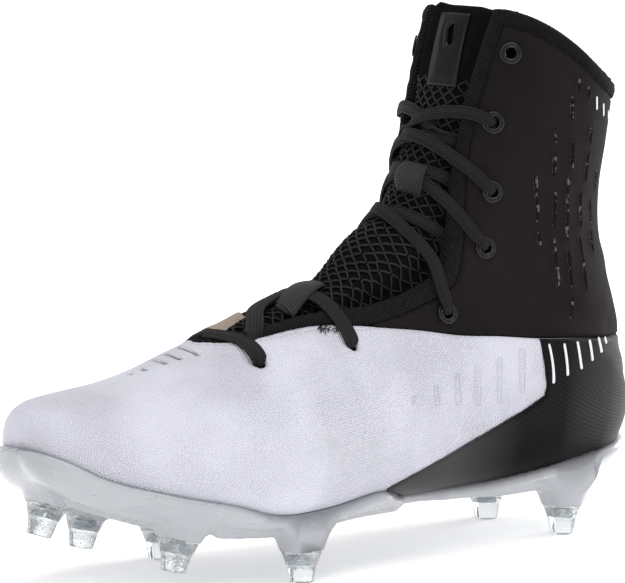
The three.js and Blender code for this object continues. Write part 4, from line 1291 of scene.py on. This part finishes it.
# Tongue: a padded leaf under the flaps that swells up between them, with an open net over it.
tongue = {
    "from": 6.9, "to": 25.7, "thickness": 3.0, "clearance": 1.2, "tuck": 9.0, "least": 14.0, "step": 2.0, "edge": 1.3,
    "lines": 41, "topTuck": 22.0, "topFrom": (21.5, 23.5), "topRound": 1.1,
    "swell": 3.6, "swellAt": 13.1, "swellHalf": 2.7,
    "rimAt": -19.0, "rimHalf": 11.0, "rimRise": 3.0, "rimFrom": (22.2, 24.2),
    "netFrom": 8.2, "netTo": 23.4, "netLift": 0.35, "netWave": 0.22,
    "strandPitch": 2.6, "wavePitch": 5.0, "strand": 0.52, "jitter": 0.3,
}


def tongueTopAt(place, angle):
    low = -shaft["wall"] - tongue["clearance"]
    room = np.degrees(throatAngle(place, 1) - np.abs(angle)) - 2.5
    turned = np.abs(np.degrees(angle) - tongue["rimAt"])
    rim = softStep(place, *tongue["rimFrom"]) * softDip(turned, tongue["rimHalf"])
    swell = tongue["swell"] * softDip(np.abs(place - tongue["swellAt"]), tongue["swellHalf"]) * softStep(room, 0, 9)
    return low + (shaft["wall"] - 0.6) * softStep(room, 0, 8) + tongue["rimRise"] * rim + swell


def makeTongue():
    places = placeLines(tongue["from"], tongue["to"], tongue["step"], (0, 40))
    across = np.linspace(-1, 1, tongue["lines"])
    tuck = tongue["tuck"] + (tongue["topTuck"] - tongue["tuck"]) * softStep(places, *tongue["topFrom"])
    half = np.radians(np.maximum(np.degrees(throatAngle(places, 1)), tongue["least"]) + tuck)
    top = softStep(places, tongue["to"] - tongue["topRound"], tongue["to"])
    half = half * np.sqrt(1 - 0.3 * top ** 2)
    patch = gridPatch(places, across)
    patch["at"][:, 1] *= np.repeat(half, len(across))
    distance = edgeDistance(patch)
    offset, edge = tongueTopAt(*patch["at"].T), rolled(distance, tongue["edge"])
    piece = formWall("tongueLeaf", patch, offset - edge, offset - tongue["thickness"] + edge, distance, lined=True)
    finishPiece(piece, [tongueFoam, lining], "tongue_mesh", "tongue")


def tubeNet(name, paths, radius, sides=5):  # tubes through runs of points in millimetres, with the form's normals
    vertices, faces, count = [], [], 0
    turns = (np.arange(sides) * 2 * math.pi / sides)[None, :, None]
    for points, normals in paths:
        tangent = unit(np.gradient(points, axis=0))
        across = unit(np.cross(tangent, normals))
        lift = np.cross(tangent, across)
        rings = points[:, None] + radius * (np.cos(turns) * across[:, None] + np.sin(turns) * lift[:, None])
        vertices.append(rings.reshape(-1, 3))
        for start in range(count, count + (len(points) - 1) * sides, sides):
            for j in range(sides):
                k = (j + 1) % sides
                faces.append([start + j, start + k, start + sides + k, start + sides + j])
        faces.append([count + j for j in reversed(range(sides))])
        faces.append([count + (len(points) - 1) * sides + j for j in range(sides)])
        count += len(points) * sides
    mesh = bpy.data.meshes.new(name)
    mesh.from_pydata(toFrame(np.concatenate(vertices)).tolist(), [], faces)
    return newPiece(name, mesh)


def alongLengths(points):  # length from the first point to each
    return np.concatenate([[0], np.linalg.norm(np.diff(points, axis=0), axis=-1).cumsum()])


def formRadius(place):  # millimetres to a radian at the top line
    return np.linalg.norm(formPoint(place, 0.05 + 0 * place) - formPoint(place, -0.05 + 0 * place), axis=-1) / 0.1


def makeNet():
    places = np.arange(tongue["netFrom"], tongue["netTo"], 0.01)
    length = alongLengths(onForm(places, 0 * places, -2.0))
    steps = np.arange(0, length[-1], tongue["wavePitch"] / 6)
    along = np.interp(steps, length, places)
    radius = formRadius(along)
    limit = throatAngle(along, 1) + math.radians(1.5)
    paths = []
    rows = int(2 * (limit * radius).max() / tongue["strandPitch"]) + 1
    chance = np.random.default_rng(7)
    for k in range(-rows // 2, rows // 2 + 1):
        sway = (1 if k % 2 else -1) * tongue["strandPitch"] * 0.47 * np.sin(2 * math.pi * steps / tongue["wavePitch"])
        stray = np.interp(steps, steps[::4], chance.normal(0, tongue["jitter"], len(steps[::4])))
        angle = (k * tongue["strandPitch"] + sway + stray) / radius
        inside = np.abs(angle) < limit
        runs = np.split(np.arange(len(along)), np.where(np.diff(inside.astype(int)) != 0)[0] + 1)
        for run in runs:
            if inside[run[0]] and len(run) > 5:
                s, a = along[run], angle[run]
                wave = tongue["netWave"] * np.cos(2 * math.pi * steps[run] / tongue["wavePitch"] * 2)
                lift = tongueTopAt(s, a) + tongue["netLift"] + wave
                paths.append((onForm(s, a, lift), formNormal(s, a)))
    finishPiece(tubeNet("tongueNet", paths, tongue["strand"]), [strandNet], "tongue_mesh")


makeTongue()
makeNet()

# Panel near the top of the tongue, with a slot for the lace, and two webbing loops.
panel = {"from": 22.95, "to": 25.4, "half": 11.5, "lines": 33, "lowMiddle": 6.5, "topMiddle": 1.5, "thickness": 1.0,
         "gap": 0.65, "step": 0.8, "edge": 0.6, "slot": [(24.95, 3.2), (24.5, 5.5)], "slotHalf": 1.3}


def makePanel():
    places = placeLines(panel["from"], panel["to"], panel["step"], (0, 20))
    angles = np.radians(np.linspace(-panel["half"], panel["half"], panel["lines"]))
    patch = gridPatch(places, angles)
    middle = np.interp(patch["at"][:, 0], [panel["from"], panel["to"]], [panel["lowMiddle"], panel["topMiddle"]])
    patch["at"][:, 1] += np.radians(middle)
    patch = trimPatch(patch, slitField([panel["slot"]], panel["slotHalf"]))
    s, a = patch["at"].T
    distance = edgeDistance(patch)
    base = tongueTopAt(s, a) + panel["gap"]
    slot = segmentDistance(formPoint(s, a), *panel["slot"])
    swell = 0.5 * softStep(distance, 0.5, 5) + 0.7 * softDip(np.abs(slot - panel["slotHalf"] - 0.9), 1.1)
    top = base + panel["thickness"] + swell - rolled(distance, panel["edge"])
    finishPiece(formWall("tonguePanel", patch, top, base, distance), [panelLeather], "textile", "tongue_panel")


loops = {
    # name, node, section and angle of both ends, half width, height of the arch in millimetres
    "rows": [["tongueLoopUpper", "tongue_loop_upper", (17.05, 8.5), (19.0, 7.5), 5.3, 4.2],
             ["tongueLoopLower", "tongue_loop_lower", (9.55, 10.0), (11.35, -1.5), 5.2, 4.0]],
    "thickness": 1.1, "edge": 0.4, "sink": 1.35, "bow": 0.35, "along": 31, "across": 17,
}


def makeLoops():
    for name, node, start, end, halfWidth, arch in loops["rows"]:
        patch = gridPatch(np.linspace(0, 1, loops["along"]), np.linspace(-1, 1, loops["across"]))
        t, u = patch["at"].T.copy()
        place = start[0] + (end[0] - start[0]) * t
        angle = np.radians(start[1] + (end[1] - start[1]) * t) + u * halfWidth / formRadius(place)
        patch["at"] = np.stack([place, angle], -1)
        distance = edgeDistance(patch, 3.0)
        rise = arch * np.sin(math.pi * np.clip(t, 0, 1)) ** 0.6
        base = -loops["sink"] + rise - loops["bow"] * u * u
        top = base + loops["thickness"] - rolled(distance, loops["edge"])
        finishPiece(formWall(name, patch, top, base, distance), [webbing], "lace", node)


makePanel()
makeLoops()

# Eyelets: moulded rings with a grooved flange, one modelled and copied into each hole.
eyeletShape = {
    "profile": [(2.1, -3.1), (2.85, -3.1), (2.85, 0.45), (4.1, 0.4), (4.4, 0.6), (4.42, 0.85), (4.2, 1.12),
                (3.85, 1.2), (3.55, 1.12), (3.4, 0.92), (3.15, 0.92), (2.95, 1.15), (2.6, 1.28), (2.3, 1.12), (2.1, 0.75)],
    "sides": 40, "smooth": 40.0,
}


def formFrame(place, angle, offset):  # Z along the normal
    normal = Vector(formNormal(place, angle))
    turn = Vector((0, 0, 1)).rotation_difference(normal)
    return Matrix.Translation(Vector(onForm(place, angle, offset))) @ turn.to_matrix().to_4x4()


def makeEyelets():
    ring = spinProfile("eyeletModel", eyeletShape["profile"], eyeletShape["sides"], closed=True)
    smoothPiece(ring, eyeletShape["smooth"])
    for side, sign in (("lateral", 1), ("medial", -1)):
        for i, (place, angle) in enumerate(eyeletPlaces):
            matrix = toFrameMatrix(formFrame(place, sign * math.radians(angle), 0.0))
            copy = placedCopy(ring, "eyelet" + side.capitalize() + str(i + 1), matrix)
            finishPiece(copy, [ringAcetal], "eyelet", "eyelet_" + side + "_" + str(i + 1))
    bpy.data.objects.remove(ring)


makeEyelets()

# Lace: one flat braid, from the bar at the nose up through the holes of both sides.
lace = {"width": 7.0, "thickness": 1.5, "ribs": 5, "ribDepth": 0.24, "step": 0.85, "ring": 40, "squeeze": 3.5,
        "squeezed": 2.5, "innerEnd": 0.7, "innerTo": 7.96, "slim": 0.5, "slimFrom": (10.9, 12.6)}
# Columns: section, angle, height over the form, width share of 1 to 0 as it is squeezed into a hole.
# Side 1 starts on the outer side; the other lace is its mirror image, a little lower where they cross.
laceRun = [
    [7.75, 0, 1.2, 1], [7.84, 9, 1.3, 1], [7.94, 17, 1.5, 1], [7.93, 24, 1.8, 1], [7.88, 29.6, 2.2, 0.95],
    [7.86, 32.2, 1.8, 0.75], [7.85, 33.0, 0.6, 0.3], [7.86, 33.2, -2.2, 0.1], [8.0, 30, -3.6, 0.5],
    [8.25, 25, -3.9, 0.7], [8.22, 20.5, -1.0, 0.6], [8.24, 18.6, 1.2, 0.9], [8.42, 15, 1.6, 1], [8.68, 10, 1.6, 1],
    [9.0, 3, 1.5, 1], [9.5, -3, 1.4, 1], [10.15, -7, 1.5, 1], [10.46, -12, 1.8, 1], [10.5, -18, 1.8, 1],
    [10.43, -27.5, 1.8, 1], [10.36, -35, 1.9, 1], [10.3, -40, 2.1, 1], [10.25, -43.2, 1.9, 0.8],
    [10.24, -44.2, 1.0, 0.35], [10.3, -44, -1.2, 0.1], [10.5, -43.5, -3.8, 0.4], [11.6, -42, -4.2, 0.9],
    [13.6, -43.5, -4.2, 0.9], [15.2, -39, -4.2, 0.9], [15.85, -34, -3.9, 1], [15.85, -29, -2.0, 1],
    [15.75, -22, -0.2, 1], [15.5, -7, 0.7, 1], [14.95, 12, 1.1, 1], [14.6, 28, 1.2, 1], [14.35, 36, 1.5, 1],
    [13.85, 44, 1.5, 1], [13.58, 49, 2.1, 0.9], [13.44, 52.3, 1.9, 0.3], [13.4, 53, -1.0, 0.1],
    [13.6, 52.5, -4.2, 0.3], [15.4, 49, -4.3, 0.9], [17.4, 41, -4.3, 0.9], [18.5, 34, -4.2, 1], [18.75, 28, -2.6, 1],
    [18.75, 22, -0.9, 1], [18.5, 8, -0.1, 1], [18.1, -12, -0.1, 1], [17.6, -28, 0.7, 1], [17.15, -37, 1.4, 1],
    [16.8, -43, 1.9, 0.95], [16.64, -47.6, 1.9, 0.3], [16.6, -48.5, -1.0, 0.1], [16.8, -47, -4.2, 0.3],
    [18.3, -42, -4.3, 0.9], [19.8, -35, -4.3, 0.9], [20.5, -29, -3.4, 1], [20.6, -23, -1.2, 1], [20.5, -12, 0.4, 1],
    [20.35, 4, 0.9, 1], [20.15, 17, 1.1, 1], [19.85, 30, 1.3, 1], [19.6, 40, 1.6, 1], [19.35, 45.5, 2.1, 0.9],
    [19.25, 48.8, 1.8, 0.3], [19.23, 49.5, -1.0, 0.1], [19.3, 47, -4.2, 0.3], [20.0, 40, -4.3, 0.9],
    [20.75, 30, -4.0, 1], [20.85, 24, -2.4, 1], [20.85, 17, -0.8, 1], [21.35, 2, -0.1, 1], [21.8, -12, 0.1, 1],
    [22.05, -25, 0.9, 1], [22.12, -33, 1.4, 1], [22.08, -40, 2.1, 0.9], [22.03, -44.3, 1.8, 0.3],
    [22.03, -45, -1.0, 0.1], [22.1, -44.5, -4.0, 0.2], [22.2, -42, -5.0, 0.5],
]
# The other lace stays under the flap for longer before it comes up: the first row that it changes, the first row that
# it shares again, and its own rows.
innerRun = (6, 17, [
    [7.86, 33.2, -2.2, 0.1], [8.1, 30, -3.9, 0.5], [8.6, 25, -4.6, 0.7], [9.1, 19, -4.4, 0.8], [9.5, 12, -2.6, 0.9],
    [9.75, 6, -0.9, 1], [10.05, 0, 0.6, 1], [10.35, -6, 1.2, 1], [10.46, -12, 1.7, 1],
])
# Where the two cross, the run towards the outer side lies higher: from and to section, height.
crossings = [[8.6, 9.9, 0.6], [14.8, 15.75, 1.3], [17.9, 18.7, 1.3], [20.0, 20.58, 1.2], [20.84, 21.9, 1.3]]


def laceSpline(rows, steps=24):  # through the control rows
    rows = np.array(rows, float)
    out = []
    for i in range(len(rows) - 1):
        p0, p1, p2, p3 = rows[max(i - 1, 0)], rows[i], rows[i + 1], rows[min(i + 2, len(rows) - 1)]
        t = np.linspace(0, 1, steps, endpoint=False)[:, None]
        bend, swing = 2 * p0 - 5 * p1 + 4 * p2 - p3, 3 * p1 - p0 - 3 * p2 + p3
        out.append(0.5 * (2 * p1 + (p2 - p0) * t + bend * t ** 2 + swing * t ** 3))
    return np.concatenate(out + [rows[-1:]])


def laceRings(side):
    first, shared, changed = innerRun
    rows = laceSpline(laceRun if side > 0 else laceRun[:first] + changed + laceRun[shared:])
    place, angle, height, wide = rows[:, 0], np.radians(rows[:, 1]) * side, rows[:, 2], np.clip(rows[:, 3], 0.05, 1)
    wide = wide * (1 - lace["slim"] * softStep(place, *lace["slimFrom"]))  # the braid is drawn narrower up the shaft
    if side < 0:  # the bar's inner end lies closer
        bar = (place < lace["innerTo"]) * (height > 0)
        height = height - lace["innerEnd"] * bar * softStep(np.abs(np.degrees(angle)), 2, 14)
    for low, high, lift in crossings:
        towards = np.gradient(angle) > 0
        window = softDip(np.abs(angle), math.radians(24)) * (place > low) * (place < high) * (height > -2)
        height = height + np.where(towards, lift * window, 0)
    points = onForm(place, angle, height)
    surface = formNormal(place, angle)
    length = alongLengths(points)
    count = int(length[-1] / lace["step"])
    even = np.linspace(0, length[-1], count)
    points, surface = (np.stack([np.interp(even, length, column) for column in values.T], -1)
                       for values in (points, surface))
    surface, wide = unit(surface), np.interp(even, length, wide)
    for _ in range(3):
        points[1:-1] = points[1:-1] * 0.5 + (points[:-2] + points[2:]) * 0.25
    tangent = unit(np.gradient(points, axis=0))
    normal = surface.copy()
    normal[0] = unit(surface[0] - tangent[0] * (surface[0] @ tangent[0]))
    for i in range(1, count):
        carried = normal[i - 1] - tangent[i] * (normal[i - 1] @ tangent[i])
        flat = surface[i] - tangent[i] * (surface[i] @ tangent[i])
        trust = np.linalg.norm(flat) ** 4 * 0.35
        if carried @ flat < 0:
            trust = trust * 0.25
        normal[i] = unit(unit(carried) * (1 - trust) + unit(flat) * trust)
    across = np.cross(tangent, normal)
    return points, normal, across, wide, even


def laceSection():  # across and thick, in halves, with lengthwise ribs
    turns = np.linspace(0, 2 * math.pi, lace["ring"], endpoint=False)
    x = np.sign(np.cos(turns)) * np.abs(np.cos(turns)) ** 0.55
    y = np.sign(np.sin(turns)) * np.abs(np.sin(turns)) ** 0.4
    ribs = 1 + 2 * lace["ribDepth"] * (np.cos(x * math.pi * lace["ribs"]) - 1) / 2
    return x, y * ribs


def makeLace():
    x, y = laceSection()
    vertices, faces, marks, count = [], [], [], 0
    for side in (1, -1):
        points, normal, across, wide, even = laceRings(side)
        width = (lace["squeeze"] + (lace["width"] - lace["squeeze"]) * wide) / 2
        thick = (lace["squeezed"] + (lace["thickness"] - lace["squeezed"]) * np.sqrt(wide)) / 2
        sideways = across[:, None] * (width[:, None] * x)[..., None]
        rings = points[:, None] + sideways + normal[:, None] * (thick[:, None] * y)[..., None]
        vertices.append(rings.reshape(-1, 3))
        rows, sides = len(points), len(x)
        marks.append(np.stack([np.repeat(even, sides), np.tile(x * lace["width"] / 2, rows)], -1))
        i, j = np.meshgrid(np.arange(rows - 1), np.arange(sides), indexing="ij")
        k = (j + 1) % sides
        quads = np.stack([i * sides + j, i * sides + k, (i + 1) * sides + k, (i + 1) * sides + j], -1).reshape(-1, 4)
        faces += (quads + count).tolist()
        faces.append([count + n for n in reversed(range(sides))])
        faces.append([count + (rows - 1) * sides + n for n in range(sides)])
        count += rows * sides
    mesh = bpy.data.meshes.new("laces")
    mesh.from_pydata(toFrame(np.concatenate(vertices)).tolist(), [], faces)
    giveLengths(mesh, np.concatenate(marks))
    piece = newPiece("laces", mesh)
    pick(piece)
    bpy.ops.object.mode_set(mode="EDIT")
    bpy.ops.mesh.select_all(action="SELECT")
    bpy.ops.mesh.normals_make_consistent(inside=False)
    bpy.ops.object.mode_set(mode="OBJECT")
    finishPiece(piece, [laceBraid], "lace",
                "lace_bar", "lace_vamp", "lace_instep", "lace_ankle", "lace_shin", "lace_top")


makeLace()

# Canvas tab on the inner side of the throat, just behind the nose.
tab = {"from": 7.95, "to": 9.25, "nearLow": 2.0, "nearTop": -6.0, "farLow": -10.0, "farTop": -19.0, "along": 26,
       "across": 22, "lift": 0.5, "over": 1.25, "thickness": 0.6, "edge": 0.3, "climb": (-3.5, 1.0)}


def makeTab():
    patch = gridPatch(np.linspace(tab["from"], tab["to"], tab["along"]), np.linspace(0, 1, tab["across"]))
    s, u = patch["at"].T.copy()
    share = (s - tab["from"]) / (tab["to"] - tab["from"])
    near = tab["nearLow"] + (tab["nearTop"] - tab["nearLow"]) * share
    far = tab["farLow"] + (tab["farTop"] - tab["farLow"]) * share
    angle = np.radians(near + (far - near) * u)
    patch["at"] = np.stack([s, angle], -1)
    distance = edgeDistance(patch, 2.0)
    climb = softStep(np.degrees(np.abs(angle) - throatAngle(s, 1)), *tab["climb"])
    base = (tongueTopAt(s, angle) + tab["lift"]) * (1 - climb) + tab["over"] * climb
    top = base + tab["thickness"] - rolled(distance, tab["edge"])
    finishPiece(formWall("throatTab", patch, top, base, distance), [canvasTab], "textile")


makeTab()

# Loose threads at the lower edge of the throat on the outer side.
threads = {"count": 16, "from": (9.7, 29.0), "to": (10.5, 36.0), "stray": 1.0, "radius": 0.2, "length": 4.5,
           "points": 7, "base": 0.4, "turn": 1.2, "rise": 1.1}


def makeThreads():
    chance = np.random.default_rng(11)
    paths = []
    for _ in range(threads["count"]):
        share = chance.random()
        place, angle = (a + (b - a) * share for a, b in zip(threads["from"], threads["to"]))
        angle = math.radians(angle + chance.normal(0, threads["stray"]))
        start, normal = onForm(place, angle, threads["base"]), formNormal(place, angle)
        down = unit(onForm(place, angle + 0.03, 0) - onForm(place, angle, 0))
        along = np.cross(normal, down)
        turn = chance.uniform(-threads["turn"], threads["turn"])
        heading = down * math.cos(turn) + along * math.sin(turn)
        steps = np.linspace(0, 1, threads["points"])[:, None]
        length = threads["length"] * chance.uniform(0.5, 1.0)
        curl = along * np.sin(steps * chance.uniform(2, 5)) * chance.uniform(-1.0, 1.0)
        rise = normal * (threads["rise"] * np.sin(math.pi * steps * 0.8))
        paths.append((start + heading * steps * length + curl + rise, np.tile(normal, (threads["points"], 1))))
    finishPiece(tubeNet("looseThreads", paths, threads["radius"], 4), [laceYarn], "textile")


makeThreads()

print("pieces ready")
